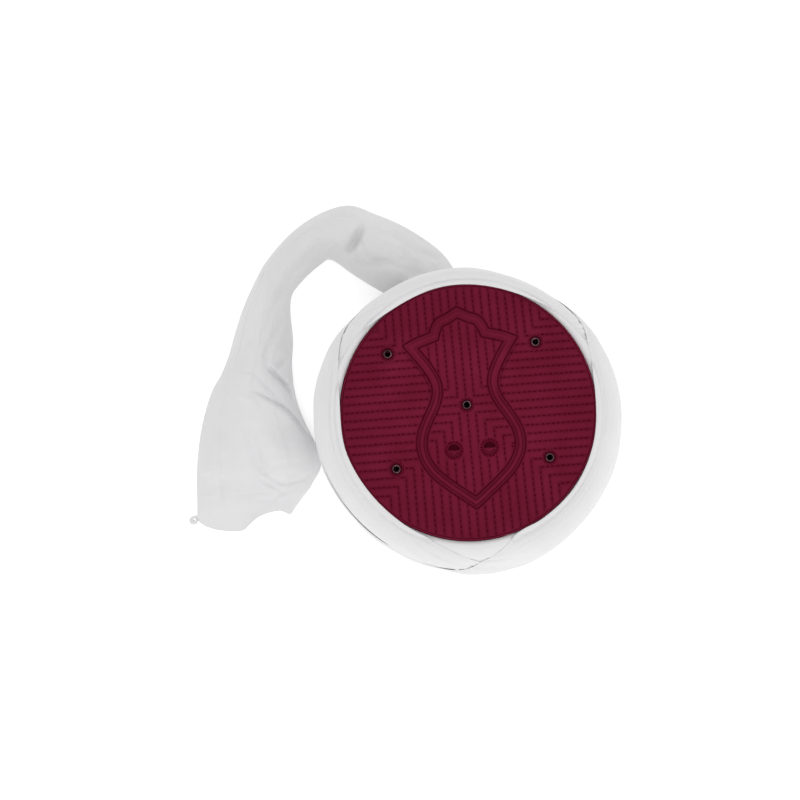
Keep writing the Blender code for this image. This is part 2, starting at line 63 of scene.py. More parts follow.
# Quilting
ROW_PITCH = 0.00562
ROW_CENTRE = (-0.00095, -0.0006)
ROW_LEAN = (0.0094, 0.010)
ROW_SPREAD = (0.28, 0.57)
COLUMNS_ABOVE = 8.6
INNER_COLUMNS_ABOVE = 1.5
PUFF_RELIEF = 0.00055
PUFF_POWER = 0.75
PUFF_SINK = 0.8
STITCH_PERIOD = 0.0035
STITCH_LENGTH = 0.0024
FRONT_STITCHES = 0.09
LINE_PERIOD = 0.0021
LINE_STITCH_LENGTH = 0.0018
THREAD_RADIUS = 0.00040
STITCHES_OFF_SEAM = 0.0014
STITCHES_OFF_LINE = 0.0018
STITCHES_OFF_EYELET = 0.0012
STITCHES_OFF_WORKED = 0.0014
FIELD_SPACING = 0.00050
FINE_SPACING = 0.00025
LINING_SPACING = 0.0016
BORDER_DIP = 0.00004
FIELD_RADIUS = 0.0842
SEAM_RADIUS = 0.0857
SEAM_MARGIN = 0.0012
RIM_TURN = 0.0009

# Sewn outline: a raised band between two pairs of sewn lines
CREST_BAND = 0.0050
CREST_RELIEF = 0.00075
CREST_SLOPE = (0.0008, 0.0021)
PAIR_HALF = 0.00095
PAIR_RIDGE = 0.00035
PAIR_GROOVE = 0.00060
WEAK_LINE = 0.6
GROOVE_WIDTH = 0.00034
RIDGE_WIDTH = 0.00060
CREST_ZONE = 0.0026
PLAIN_OFF_LINE = (0.0012, 0.0030)

# Where the outline's flanks and arms begin, in shares of the crown's radius
FLANKS_FROM = (0.08, 0.22)
ARMS_FROM = (0.42, 0.56)
ARMS_FADE = 0.8

# How dark the painted shade in the crown's folds and grooves is, and how wide; the crown is also darker
# towards its rim
ROWS_SHADE = 0.40
ROWS_SHADE_WIDTH = 0.00110
LINES_SHADE = 0.74
LINES_SHADE_WIDTH = 0.00080
SEAM_SHADE = 0.7
RIM_SHADE = 0.14
RIM_SHADE_FROM = 0.045

# Eyelets and worked holes
EYELET_HOLE = 0.0017
EYELET_FLANGE = 0.0028
EYELET_ROLL = 0.00035
EYELET_LIP = 0.0006
EYELET_GROOVE = 0.0033
EYELET_SWELL = 0.0040
EYELET_RING = 0.0048
EYELET_MARGIN = (0.0002, 0.0014)
EYELET_ZONE = 0.0014
WORKED_HOLE = 0.0040
WORKED_RING = 0.0062
WORKED_MARGIN = (0.0004, 0.0020)
WORKED_ZONE = 0.0018
WORKED_DEPTH = 0.0019
WORKED_STITCHES = 30
WORKED_THREAD_RADIUS = 0.00042

# Wound cloth, as in the solids
WRAP_FOOT = 0.0025
WRAP_TOP = 0.0978
WRAP_BULGE = 0.0160
WRAP_EDGE = 0.0030
CLOTH_GAP = 0.0004
TURN_THICKNESS = 0.0016
TURN_GAP = 0.0006
TURN_PLEAT = 0.0004
SECTION_POWER = 0.8
LOWEST_FOOT = 0.05
LOWEST_TOP = 0.42
FOOT_PER_TOP = 0.72
DRAPE_RAMP = 0.045
LAID_SINK = 0.0001
TURN_EDGE = 0.08
CREASE_REACH = 6.0
TURN_LENGTH = 0.095
TURN_WIDTH = 0.125
TURN_SIDES = 640
TURN_COLUMNS = 75
UNDER_COLUMNS = 7
CORE_SIDES = 400
CORE_COLUMNS = 60
CORE_INNER_COLUMNS = 12
CROWN_LAP_FROM = 0.8
CROWN_LAP_TO = 1.4

# The free end, as in the solids
TAIL_STANDOFF = 0.100
TAIL_HEIGHT = 0.034
TAIL_CLEARANCE = 0.0008
TAIL_EDGE = 0.36
TAIL_TUCK = 0.0015
# How much painted shade darkens the tail's cloth near its root
TAIL_PAINTED_SHADE = 0.14
TAIL_CUTS = 30
TAIL_COLUMNS = 97
TAIL_UNDER_STEP = 4
KNOT_CURL = 0.0034
KNOT_THICKNESS = 0.0018
KNOT_OFF = (-0.0022, -0.0010)
KNOT_TURNS = 400.0

# The photograph's camera, from the cap's axis
CAMERA_PLACE = (-0.04642, -0.04428, 1.09905)
CAMERA_TILT = math.radians(3.0)
CAMERA_TURN = math.radians(-4.87)
CAMERA_LENS = 66.41
CAMERA_SENSOR = 36.0
FLOOR_GLOW = 0.34
SKY_STRENGTH = 0.85

CrestPoint = namedtuple("CrestPoint", "step across along corner")
Bulge = namedtuple("Bulge", "azimuth share fill")
TurnEdge = namedtuple("TurnEdge", "azimuth top")
TailRow = namedtuple("TailRow", "row outer_azimuth outer_off inner_azimuth inner_off height")
HemPoint = namedtuple("HemPoint", "across azimuth off lift")
Fold = namedtuple("Fold", "first_row last_row across_first across_last rise width")
Dent = namedtuple("Dent", "row across rise rows_wide width")
Crease = namedtuple("Crease", "cut width lap points")
CurvePoint = namedtuple("CurvePoint", "step first second")

# Right half of the sewn outline, front tip to back tip: how far across and along in shares of
# the crown's radius, and whether it has a corner there
CREST = (
    (0.000, -0.745, True),
    (0.118, -0.652, False),
    (0.225, -0.565, False),
    (0.323, -0.470, False),
    (0.388, -0.362, False),
    (0.412, -0.258, False),
    (0.396, -0.142, False),
    (0.341, -0.025, False),
    (0.275, 0.090, False),
    (0.246, 0.190, False),
    (0.263, 0.280, False),
    (0.326, 0.395, False),
    (0.437, 0.553, True),
    (0.335, 0.598, False),
    (0.222, 0.632, True),
    (0.200, 0.687, False),
    (0.160, 0.738, False),
    (0.096, 0.764, True),
    (0.000, 0.816, True),
)
CREST_LEAN = 0.022
CREST_LEAN_BEHIND = -0.3

EYELETS = ("centre", "back_left", "back_right", "front_left", "front_right")
WORKED = ("left", "right")


def table(kind, *rows):
    """Rows of numbers, each with the names of its kind of row."""
    return tuple(kind(*row) for row in rows)


# Fill is the thickness of the cloth in the gaps that the solids keep between the turns
WRAP_BULGES = table(
    Bulge, (0, 0.83, 0.0037), (30, 0.60, 0.0031), (62, 0.43, 0.0040), (90, 0.55, 0.0038),
    (120, 0.53, 0.0040), (150, 0.59, 0.0040), (180, 0.67, 0.0041), (210, 0.65, 0.0042),
    (240, 0.74, 0.0049), (268, 0.80, 0.0059), (290, 1.00, 0.0055), (320, 0.92, 0.0056),
    (342, 0.91, 0.0050),
)
TURNS = {
    "turn_back": table(
        TurnEdge, (5, 0.72), (30, 0.93), (55, 1.02), (95, 1.03), (130, 1.02), (160, 0.88),
        (190, 0.62), (230, 0.46), (270, 0.42), (320, 0.46),
    ),
    "turn_left": table(
        TurnEdge, (20, 0.46), (70, 0.48), (112, 0.50), (134, 0.60), (150, 0.86), (165, 1.01),
        (195, 1.03), (215, 1.037), (235, 1.026), (252, 0.99), (264, 0.86), (280, 0.64),
        (310, 0.50), (345, 0.46),
    ),
    "turn_right": table(
        TurnEdge, (5, 1.03), (20, 0.98), (33, 0.80), (50, 0.60), (75, 0.50), (130, 0.44),
        (190, 0.42), (235, 0.44), (259, 0.60), (274, 0.85), (285, 1.01), (300, 1.026),
        (320, 1.024), (340, 1.03),
    ),
}
TAIL_ROWS = table(
    TailRow,
    (0, 86.0, -0.060, 112.0, -0.110, 0.92),
    (1, 91.2, 0.140, 115.0, -0.045, 0.96),
    (2, 99.1, 0.345, 119.4, 0.104, 0.95),
    (3, 107.9, 0.576, 122.6, 0.276, 0.93),
    (4, 114.0, 0.742, 125.0, 0.464, 0.96),
    (5, 124.3, 0.810, 128.2, 0.492, 0.84),
    (6, 136.3, 0.804, 136.4, 0.503, 0.77),
    (7, 144.1, 0.772, 140.9, 0.480, 0.74),
    (8, 158.0, 0.725, 150.2, 0.322, 0.73),
    (9, 164.7, 0.742, 158.5, 0.250, 0.74),
    (10, 169.6, 0.795, 167.4, 0.176, 0.73),
    (11, 182.0, 0.890, 184.6, 0.030, 0.66),
    (12, 188.0, 0.941, 193.9, 0.032, 0.54),
    (13, 192.4, 0.982, 199.8, 0.165, 0.36),
)
HEM_ROW = 14
HEM_THICKNESS = 0.0009
TAIL_HEM = table(
    HemPoint,
    (0.00, 203.5, 0.340, 0.0012),
    (0.10, 204.4, 0.390, 0.0020),
    (0.20, 202.1, 0.445, 0.0042),
    (0.36, 201.1, 0.590, 0.0058),
    (0.50, 201.9, 0.700, 0.0034),
    (0.66, 202.2, 0.770, 0.0014),
    (0.82, 199.6, 0.930, 0.0011),
    (0.93, 197.4, 1.010, 0.0018),
    (1.00, 196.0, 1.026, 0.0030),
)
TAIL_FOLDS = table(
    Fold,
    (-0.5, 3.2, 0.30, 0.40, 0.10, 0.16),
    (0.2, 3.0, 0.72, 0.76, -0.08, 0.08),
    (4.2, 8.4, 0.60, 0.52, 0.09, 0.20),
    (4.6, 7.6, 0.26, 0.22, -0.07, 0.09),
    (9.8, 13.6, 0.66, 0.60, 0.12, 0.16),
    (10.3, 12.2, 0.56, 0.46, -0.14, 0.07),
    (10.7, 12.4, 0.36, 0.34, 0.10, 0.08),
    (9.6, 13.4, 0.88, 0.86, -0.07, 0.06),
)
TAIL_DENTS = table(
    Dent,
    (3.2, 0.48, -0.10, 0.25, 0.14),
    (1.2, 0.46, -0.16, 0.30, 0.12),
    (10.6, 0.73, -0.07, 0.50, 0.10),
    (9.3, 0.10, -0.20, 0.45, 0.10),
)
# Creases of the tail: how deep, how wide and how much higher the cloth lies on the curve's
# left, in metres, and the curve by row and share across
TAIL_CREASES = table(
    Crease,
    (0.0030, 0.0036, 0.0, ((4.20, 0.00), (3.60, 0.18), (3.32, 0.42), (3.25, 0.78))),
    (0.0058, 0.0026, 0.0, ((3.46, 0.22), (3.34, 0.36), (3.27, 0.50), (3.24, 0.72))),
    (0.0028, 0.0023, 0.0014, ((3.30, 0.34), (3.05, 0.23), (2.72, 0.20), (2.38, 0.29), (2.05, 0.36))),
    (0.0026, 0.0024, -0.0012, (
        (3.10, 0.46), (2.88, 0.32), (2.53, 0.28), (2.18, 0.36), (1.75, 0.39), (1.30, 0.42),
    )),
    (0.0020, 0.0028, 0.0008, ((2.10, 0.66), (1.84, 0.61), (1.74, 0.52), (1.80, 0.44))),
    (0.0026, 0.0030, 0.0008, ((1.62, 0.78), (1.33, 0.82), (0.96, 0.85))),
    (0.0024, 0.0028, 0.0, ((6.05, 0.04), (6.80, 0.22), (7.40, 0.36), (8.10, 0.52))),
    (0.0013, 0.0030, 0.0, ((7.30, 0.52), (7.85, 0.61), (8.33, 0.72), (9.10, 0.72))),
    (0.0012, 0.0034, 0.0, ((5.00, 0.66), (5.80, 0.58), (6.60, 0.62))),
    (0.0026, 0.0024, 0.0, ((7.50, 0.10), (8.05, 0.33), (8.70, 0.37), (9.30, 0.24))),
    (0.0052, 0.0017, 0.0020, ((9.00, 0.30), (9.35, 0.21), (9.75, 0.09), (10.15, 0.01))),
    (0.0026, 0.0022, 0.0, ((9.30, 0.27), (8.83, 0.12), (8.50, -0.02))),
    (0.0016, 0.0024, 0.0, ((9.00, 0.58), (9.55, 0.40), (10.00, 0.24), (10.30, 0.12))),
    (0.0030, 0.0016, -0.0046, (
        (9.95, 0.50), (10.18, 0.27), (10.33, 0.14), (10.55, 0.07), (10.95, 0.01),
    )),
    (0.0018, 0.0034, 0.0, ((10.55, 0.56), (11.15, 0.51), (11.85, 0.45))),
    (0.0020, 0.0017, 0.0008, ((11.70, 0.52), (12.25, 0.40), (12.65, 0.26), (12.55, 0.08))),
    (0.0014, 0.0016, 0.0, ((12.20, 0.51), (12.62, 0.38), (13.08, 0.23))),
    (0.0014, 0.0018, 0.0, ((13.22, 0.45), (13.40, 0.30), (13.00, 0.22))),
    (0.0014, 0.0030, 0.0, ((12.00, 0.82), (12.80, 0.79), (13.75, 0.77))),
    (-0.0014, 0.0026, 0.0, ((10.02, 0.68), (10.15, 0.54), (10.30, 0.42))),
)
# Creases of the turns in the same way, by azimuth and share of the wrap's section
TURN_CREASES = table(
    Crease,
    (0.0007, 0.0013, 0.0004, ((36.0, 0.95), (35.2, 0.88), (33.6, 0.72))),
    (0.0006, 0.0012, 0.0003, ((33.0, 0.94), (31.9, 0.86), (29.8, 0.72))),
    (0.0005, 0.0012, 0.0003, ((30.0, 0.93), (28.8, 0.85), (27.0, 0.74))),
    (0.0009, 0.0013, 0.0005, ((240.0, 0.97), (249.0, 0.88), (262.0, 0.76), (276.0, 0.66))),
    (0.0008, 0.0013, 0.0005, ((234.0, 0.90), (244.0, 0.80), (257.0, 0.69), (270.0, 0.60))),
    (0.0008, 0.0012, 0.0, ((262.0, 0.88), (272.0, 0.865), (283.0, 0.88))),
    (0.0008, 0.0012, 0.0, ((262.0, 0.82), (273.0, 0.80), (284.0, 0.82))),
    (0.0007, 0.0014, 0.0, ((118.0, 0.98), (128.0, 0.90), (138.0, 0.78), (146.0, 0.66))),
)


def smooth_step(low, high, value):
    share = np.clip((value - low) / (high - low), 0.0, 1.0)
    return share * share * (3.0 - 2.0 * share)


def bell(value, width):
    return np.exp(-((value / width) ** 2))


def read(rows, column, at, whole=None):
    """A table's column at places between its rows, on a smooth curve through them. A row's
    first value is its place, and whole is the period of a table that goes right round."""
    places = [float(row[0]) for row in rows]
    values = [getattr(row, column) for row in rows]
    at = np.asarray(at, dtype=float)
    if whole:
        at = places[0] + (at - places[0]) % whole
        places = [places[-1] - whole] + places + [places[0] + whole, places[1] + whole]
        values = [values[-1]] + values + values[:2]
    places = np.array(places)
    values = np.array(values)
    at = np.clip(at, places[0], places[-1])
    last = len(places) - 1
    before = np.maximum(np.arange(last + 1) - 1, 0)
    after = np.minimum(np.arange(last + 1) + 1, last)
    slopes = (values[after] - values[before]) / (places[after] - places[before])
    index = np.clip(np.searchsorted(places, at, side="right") - 1, 0, last - 1)
    span = places[index + 1] - places[index]
    t = (at - places[index]) / span
    start = (2 * t**3 - 3 * t**2 + 1) * values[index] + (t**3 - 2 * t**2 + t) * span * slopes[index]
    end = (3 * t**2 - 2 * t**3) * values[index + 1] + (t**3 - t**2) * span * slopes[index + 1]
    return start + end


def soft_noise(x, y, seed, wrap=256):
    """Smooth noise from -1 to 1 that repeats after wrap steps each way."""
    grid = np.random.default_rng(seed).uniform(-1.0, 1.0, (wrap, wrap))
    x, y = np.broadcast_arrays(np.asarray(x, dtype=float), np.asarray(y, dtype=float))
    column = np.floor(x).astype(int)
    row = np.floor(y).astype(int)
    right = smooth_step(0.0, 1.0, x - column)
    up = smooth_step(0.0, 1.0, y - row)
    low, high = (
        grid[column % wrap, line % wrap] * (1 - right) + grid[(column + 1) % wrap, line % wrap] * right
        for line in (row, row + 1)
    )
    return low * (1 - up) + high * up


def crown_noise(x, y, size, seed, start=0.0):
    """Smooth noise over points of the crown, in steps of this size."""
    return soft_noise(x / size + start, y / size + start, seed)


def off_edges(across, low=0.0, high=0.06):
    """1 over the middle of a strip of cloth, which falls to 0 at both its edges."""
    return smooth_step(low, high, across) * (1.0 - smooth_step(1.0 - high, 1.0 - low, across))


def off_run(x, y, start, end):
    """How far points lie off a straight run, each way, and where along it they come nearest."""
    run = end - start
    share = np.clip(((x - start[0]) * run[0] + (y - start[1]) * run[1]) / (run @ run), 0.0, 1.0)
    return x - start[0] - run[0] * share, y - start[1] - run[1] * share, share


def crease_relief(x, y, creases, place):
    """Relief of creases at points of a cloth laid out flat: grooves along short curves, with
    the cloth on a curve's left higher by the crease's lap. place turns a curve's own
    coordinates into those of the points."""
    relief = np.zeros(np.broadcast(x, y).shape)
    for crease in creases:
        rows = [CurvePoint(step, *point) for step, point in enumerate(crease.points)]
        steps = np.linspace(0.0, len(rows) - 1.0, 8 * len(rows))
        curve = place(read(rows, "first", steps), read(rows, "second", steps))
        nearest = np.full(relief.shape, 1.0)
        signed = np.zeros(relief.shape)
        along = np.zeros(relief.shape)
        for index, (start, end) in enumerate(zip(curve[:-1], curve[1:])):
            run = end - start
            off_x, off_y, share = off_run(x, y, start, end)
            away = np.hypot(off_x, off_y)
            closer = away < nearest
            nearest = np.where(closer, away, nearest)
            signed = np.where(closer, away * np.sign(run[0] * off_y - run[1] * off_x), signed)
            along = np.where(closer, (index + share) / (len(curve) - 1), along)
        fade = np.maximum(np.sin(np.pi * along), 0.0) ** 0.6
        side = signed * math.copysign(1.0, crease.lap)
        raised = smooth_step(-0.5 * crease.width, 0.5 * crease.width, side)
        raised = raised * np.exp(-np.maximum(side, 0.0) / (CREASE_REACH * crease.width))
        relief = relief + fade * (abs(crease.lap) * raised - crease.cut * bell(nearest, crease.width))
    return relief


def link(name, mesh, look, node=None):
    """A finished piece on the cap's axis, which rides on the one body."""
    mesh.materials.append(look)
    mesh.shade_smooth()
    piece = bpy.data.objects.new(name, mesh)
    bpy.context.scene.collection.objects.link(piece)
    piece.location = AXIS
    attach(piece, "root")
    if node:
        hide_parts(node)
    return piece


def mesh_from(name, points, faces, painted_shade=None):
    """A mesh from arrays. The painted shade, from 0 to 1, is kept for each point for the material to read."""
    mesh = bpy.data.meshes.new(name)
    faces = faces if isinstance(faces, list) else faces.tolist()
    mesh.from_pydata(np.asarray(points).tolist(), [], faces)
    if painted_shade is not None:
        layer = mesh.attributes.new("painted_shade", "FLOAT", "POINT")
        layer.data.foreach_set("value", np.asarray(painted_shade, dtype=np.float32).ravel())
    mesh.update()
    return mesh


def grid_faces(rows, columns, wrap_rows, wrap_columns):
    """Quads between the points of a grid, which may close on itself either way."""
    row = np.arange(rows if wrap_rows else rows - 1)
    column = np.arange(columns if wrap_columns else columns - 1)
    row, column = np.meshgrid(row, column, indexing="ij")
    row_after = (row + 1) % rows
    column_after = (column + 1) % columns
    corners = (
        row * columns + column,
        row * columns + column_after,
        row_after * columns + column_after,
        row_after * columns + column,
    )
    return np.stack([corner.ravel() for corner in corners], axis=1)


# Materials


def rgba(colour):
    return (*colour, 1.0)


def set_inputs(node, values):
    for key, value in values.items():
        node.inputs[key].default_value = value


def new_material(name, colour, surface):
    """A material of this colour and with these inputs of its shader, and its tree and shader."""
    made = bpy.data.materials.new(name)
    made.use_nodes = True
    shader = made.node_tree.nodes["Principled BSDF"]
    set_inputs(shader, {"Base Color": rgba(colour), **surface})
    return made, made.node_tree, shader


def place_node(tree, kind, inputs, **settings):
    node = tree.nodes.new(kind)
    for key, value in settings.items():
        setattr(node, key, value)
    set_inputs(node, inputs)
    return node


def object_place(tree):
    where = tree.nodes.get("Texture Coordinate") or tree.nodes.new("ShaderNodeTexCoord")
    return where.outputs["Object"]


def noise_node(tree, scale, detail):
    where = object_place(tree)
    node = place_node(tree, "ShaderNodeTexNoise", {"Scale": scale, "Detail": detail, "Roughness": 0.55})
    tree.links.new(where, node.inputs["Vector"])
    return node.outputs["Fac"]


def weave_node(tree, spacing):
    """Height of a plain weave: crossed sets of threads, of this spacing."""
    where = object_place(tree)
    values = {"Scale": math.tau / (20.0 * spacing), "Distortion": 1.2, "Detail": 2.0, "Detail Scale": 2.0}
    total = None
    for direction in ("X", "Y", "Z"):
        wave = place_node(tree, "ShaderNodeTexWave", values, wave_type="BANDS", bands_direction=direction)
        tree.links.new(where, wave.inputs["Vector"])
        threads = wave.outputs["Fac"]
        total = threads if total is None else math_node(tree, "ADD", total, threads)
    return total


def fill_sockets(tree, sockets, values):
    """Each socket gets its value, which may be another node's output."""
    for socket, value in zip(sockets, values):
        if hasattr(value, "is_output"):
            tree.links.new(value, socket)
        else:
            socket.default_value = value


def math_node(tree, operation, first, second):
    node = place_node(tree, "ShaderNodeMath", {}, operation=operation)
    fill_sockets(tree, node.inputs, (first, second))
    return node.outputs[0]


def ramp_node(tree, value, stops):
    """Colours by value: stops are (place, colour) pairs."""
    node = tree.nodes.new("ShaderNodeValToRGB")
    elements = node.color_ramp.elements
    while len(elements) < len(stops):
        elements.new(0.5)
    for element, (place, colour) in zip(elements, stops):
        element.position = place
        element.color = rgba(colour)
    tree.links.new(value, node.inputs["Fac"])
    return node.outputs["Color"]


def mix_colours(tree, share, first, second):
    node = place_node(tree, "ShaderNodeMix", {}, data_type="RGBA")
    fill_sockets(tree, (node.inputs[0], node.inputs[6], node.inputs[7]), (share, first, second))
    return node.outputs[2]


def bump_node(tree, shader, height, distance, strength):
    node = place_node(tree, "ShaderNodeBump", {"Distance": distance, "Strength": strength})
    tree.links.new(height, node.inputs["Height"])
    tree.links.new(node.outputs["Normal"], shader.inputs["Normal"])


def range_node(tree, value, limits, socket):
    """A value turned into a range, for a socket."""
    node = place_node(tree, "ShaderNodeMapRange", limits)
    tree.links.new(value, node.inputs["Value"])
    tree.links.new(node.outputs["Result"], socket)


def grained_material(name, colour, surface, broad, stops, grain, bump, rough, painted_shade=None, weave=None):
    """A material whose colour and roughness follow broad noise, over the relief of its grain.
    Where the mesh has painted shade its colour turns to the given shade colour, and weave is the
    spacing of a plain weave and its share of the relief."""
    made, tree, shader = new_material(name, colour, surface)
    spread = noise_node(tree, *broad)
    shown = ramp_node(tree, spread, stops)
    if painted_shade:
        dark = place_node(tree, "ShaderNodeAttribute", {}, attribute_name="painted_shade")
        shown = mix_colours(tree, dark.outputs["Fac"], shown, rgba(painted_shade))
    tree.links.new(shown, shader.inputs["Base Color"])
    height = noise_node(tree, *grain)
    if weave:
        threads = math_node(tree, "MULTIPLY", weave_node(tree, weave[0]), weave[1])
        height = math_node(tree, "ADD", threads, height)
    bump_node(tree, shader, height, *bump)
    range_node(tree, spread, {"To Min": rough[0], "To Max": rough[1]}, shader.inputs["Roughness"])
    return made


def quilted_material():
    return grained_material(
        "maroon_quilted_cotton",
        (0.138, 0.0075, 0.0252),
        {"Roughness": 0.8, "Specular IOR Level": 0.06},
        broad=(45.0, 5.0),
        stops=(
            (0.30, (0.140, 0.0062, 0.0240)),
            (0.55, (0.158, 0.0085, 0.0300)),
            (0.80, (0.178, 0.0115, 0.0370)),
        ),
        grain=(1600.0, 3.0),
        bump=(0.00008, 0.9),
        rough=(0.72, 0.9),
        # Colour of the painted shade in the crown's rows, grooves and holes
        painted_shade=(0.052, 0.0003, 0.0062),
        weave=(0.00050, 0.5),
    )


def thread_material():
    # The thread is coloured darker than the cloth: painted shade of stitches sunk in their channels
    return grained_material(
        "maroon_thread",
        (0.060, 0.0002, 0.0060),
        {"Roughness": 0.7, "Specular IOR Level": 0.0},
        broad=(300.0, 3.0),
        stops=((0.3, (0.082, 0.0006, 0.0092)), (0.7, (0.112, 0.0018, 0.0145))),
        grain=(3000.0, 2.0),
        bump=(0.00006, 0.8),
        rough=(0.65, 0.85),
    )


def ring_material():
    """Thread of the worked holes, a little paler than the stitches."""
    return grained_material(
        "maroon_worked_thread",
        (0.130, 0.006, 0.024),
        {"Roughness": 0.7, "Specular IOR Level": 0.02},
        broad=(400.0, 3.0),
        stops=((0.3, (0.078, 0.001, 0.010)), (0.7, (0.130, 0.004, 0.020))),
        grain=(3000.0, 2.0),
        bump=(0.00006, 0.8),
        rough=(0.5, 0.7),
    )


def metal_material():
    return grained_material(
        "eyelet_metal",
        (0.16, 0.11, 0.125),
        {"Roughness": 0.38, "Metallic": 0.9},
        broad=(420.0, 5.0),
        stops=((0.38, (0.055, 0.026, 0.034)), (0.62, (0.215, 0.135, 0.155))),
        grain=(2500.0, 3.0),
        bump=(0.00003, 0.6),
        rough=(0.3, 0.5),
    )


def voile_material():
    surface = {
        "Roughness": 0.85,
        "Sheen Weight": 0.1,
        "Sheen Roughness": 0.5,
        "Subsurface Weight": 0.12,
        "Subsurface Radius": (1.0, 1.0, 1.0),
        "Subsurface Scale": 0.002,
    }
    return grained_material(
        "white_voile",
        (0.74, 0.73, 0.735),
        surface,
        broad=(18.0, 4.0),
        stops=((0.3, (0.725, 0.718, 0.728)), (0.7, (0.765, 0.760, 0.768))),
        grain=(900.0, 3.0),
        bump=(0.00006, 0.8),
        rough=(0.78, 0.92),
        # Colour of the painted shade on the tail near its root
        painted_shade=(0.560, 0.565, 0.540),
        weave=(0.00042, 0.4),
    )


# Crown


def node_middle(node):
    low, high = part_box(node)
    return np.array([(low[0] + high[0]) / 2 - AXIS[0], (low[1] + high[1]) / 2 - AXIS[1]])


EYELET_PLACES = {name: node_middle("eyelet_" + name) for name in EYELETS}
WORKED_PLACES = {name: node_middle("worked_eyelet_" + name) for name in WORKED}


def nearest_place(places, x, y):
    """Distance of points from the nearest of some places."""
    return np.min([np.hypot(x - place[0], y - place[1]) for place in places.values()], axis=0)


def cap_radius(z):
    """Outer radius of the cap's wall, which narrows from the rim to the crown."""
    return RIM_RADIUS + (CROWN_RADIUS - RIM_RADIUS) * z / CAP_HEIGHT


def crown_top(radius):
    """Height of the crown's upper face, which is slightly domed."""
    return CAP_HEIGHT + CROWN_RISE * (1.0 - (radius / CROWN_RADIUS) ** 2)


def crest_outline(fine):
    """The sewn outline's outer edge, anticlockwise from its front tip."""
    right = []
    start = 0
    for index, point in enumerate(CREST):
        if not point[2] or index == 0:
            continue
        rows = [CrestPoint(step, *row) for step, row in enumerate(CREST[start : index + 1])]
        cuts = fine if len(rows) > 2 else 1
        steps = np.arange((len(rows) - 1) * cuts) / cuts
        right.append(np.stack([read(rows, "across", steps), read(rows, "along", steps)], axis=1))
        start = index
    right.append(np.array([CREST[-1][:2]]))
    right = np.concatenate(right)
    left = right[-2:0:-1] * (-1.0, 1.0)
    outline = np.concatenate([right, left])
    outline[:, 0] -= CREST_LEAN * np.maximum(outline[:, 1] - CREST_LEAN_BEHIND, 0.0)
    return outline * CROWN_RADIUS


def inset(outline, width):
    """An anticlockwise outline moved inwards, with mitred corners."""
    before = outline - np.roll(outline, 1, axis=0)
    after = np.roll(outline, -1, axis=0) - outline
    before /= np.linalg.norm(before, axis=1)[:, None]
    after /= np.linalg.norm(after, axis=1)[:, None]
    mitre = np.stack([-before[:, 1] - after[:, 1], before[:, 0] + after[:, 0]], axis=1)
    mitre /= np.linalg.norm(mitre, axis=1)[:, None]
    across = mitre[:, 1] * after[:, 0] - mitre[:, 0] * after[:, 1]
    return outline + mitre * (width / across)[:, None]


def outline_distance(outline, x, y):
    """Distance of points from a closed outline, and whether they are inside it."""
    best = np.full(x.shape, 1.0)
    inside = np.zeros(x.shape, dtype=bool)
    for start, end in zip(outline, np.roll(outline, -1, axis=0)):
        run = end - start
        off_x, off_y, _ = off_run(x, y, start, end)
        best = np.minimum(best, np.hypot(off_x, off_y))
        spans = (start[1] > y) != (end[1] > y)
        if run[1] != 0.0:
            inside ^= spans & (x < start[0] + run[0] * (y - start[1]) / run[1])
    return best, inside


def moved_line(outline, width):
    """An outline moved inwards, or outwards where width is negative, without the stretches that
    the mitred corners would fold over."""
    moved = inset(outline, width)
    away, _ = outline_distance(outline, moved[:, 0], moved[:, 1])
    return moved[away > abs(width) - 0.00002]


OUTER_LINE = crest_outline(4)
INNER_LINE = moved_line(OUTER_LINE, CREST_BAND)


def stitch_rows(x, y):
    """Column and row numbers of the quilting at points of the crown, as fractions."""
    u = x - ROW_CENTRE[0] + ROW_LEAN[0] * y
    w = y - ROW_CENTRE[1] + ROW_LEAN[1] * x
    return u * (1.0 + ROW_SPREAD[0] * y) / ROW_PITCH, w * (1.0 + ROW_SPREAD[1] * w) / ROW_PITCH


def crown_facts(x, y):
    """Distances that the crown's relief and its stitches follow."""
    outer, in_outer = outline_distance(OUTER_LINE, x, y)
    inner, in_inner = outline_distance(INNER_LINE, x, y)
    return {
        "outer": outer,
        "inner": inner,
        "in_inner": in_inner,
        "in_band": in_outer & ~in_inner,
        "line": np.minimum(outer, inner),
        "radius": np.hypot(x, y),
        "eyelet": nearest_place(EYELET_PLACES, x, y),
        "worked": nearest_place(WORKED_PLACES, x, y),
    }


def quilting_number(x, y, in_inner):
    """Number that is whole on each row of stitches, and whether columns run there."""
    column, row = stitch_rows(x, y)
    limit = np.where(in_inner, INNER_COLUMNS_ABOVE, COLUMNS_ABOVE)
    above = row > np.maximum(limit, np.abs(column) + 1.0)
    nested = np.minimum(np.abs(column) - 1.0, -row)
    upright = above | (np.abs(column) - 1.0 < -row)
    return np.where(above, column, nested), upright


def hole_folds(x, y, worked):
    """Depth of the pressed holes, in shares of WORKED_DEPTH, and their painted shade: a half moon of
    painted shade at the back of each, with two folds in front of it that are painted darker too."""
    hole = 1.0 - smooth_step(WORKED_HOLE - 0.0004, WORKED_HOLE + 0.0005, worked)
    depth = np.zeros(x.shape)
    dark = np.zeros(x.shape)
    for place in WORKED_PLACES.values():
        near = np.hypot(x - place[0], y - place[1]) < WORKED_RING
        across = (x - place[0]) / WORKED_HOLE
        back = (y - place[1]) / WORKED_HOLE
        away = np.hypot(across, back)
        moon = smooth_step(-0.16, 0.30, back - 0.10 * crown_noise(x, y, 0.0011, 8))
        folds = np.where(moon < 0.5, smooth_step(-0.05, -0.4, back), 0.0)
        arc = folds * (bell(away - 0.78, 0.10) + 0.8 * bell(away - 1.10, 0.10))
        depth = depth + np.where(near, hole * (0.25 + 0.75 * moon) + 0.22 * arc, 0.0)
        # Painted shade in the hole and along its folds
        dark = dark + np.where(near, hole * moon + 0.60 * arc + 0.12 * hole, 0.0)
    return depth, dark


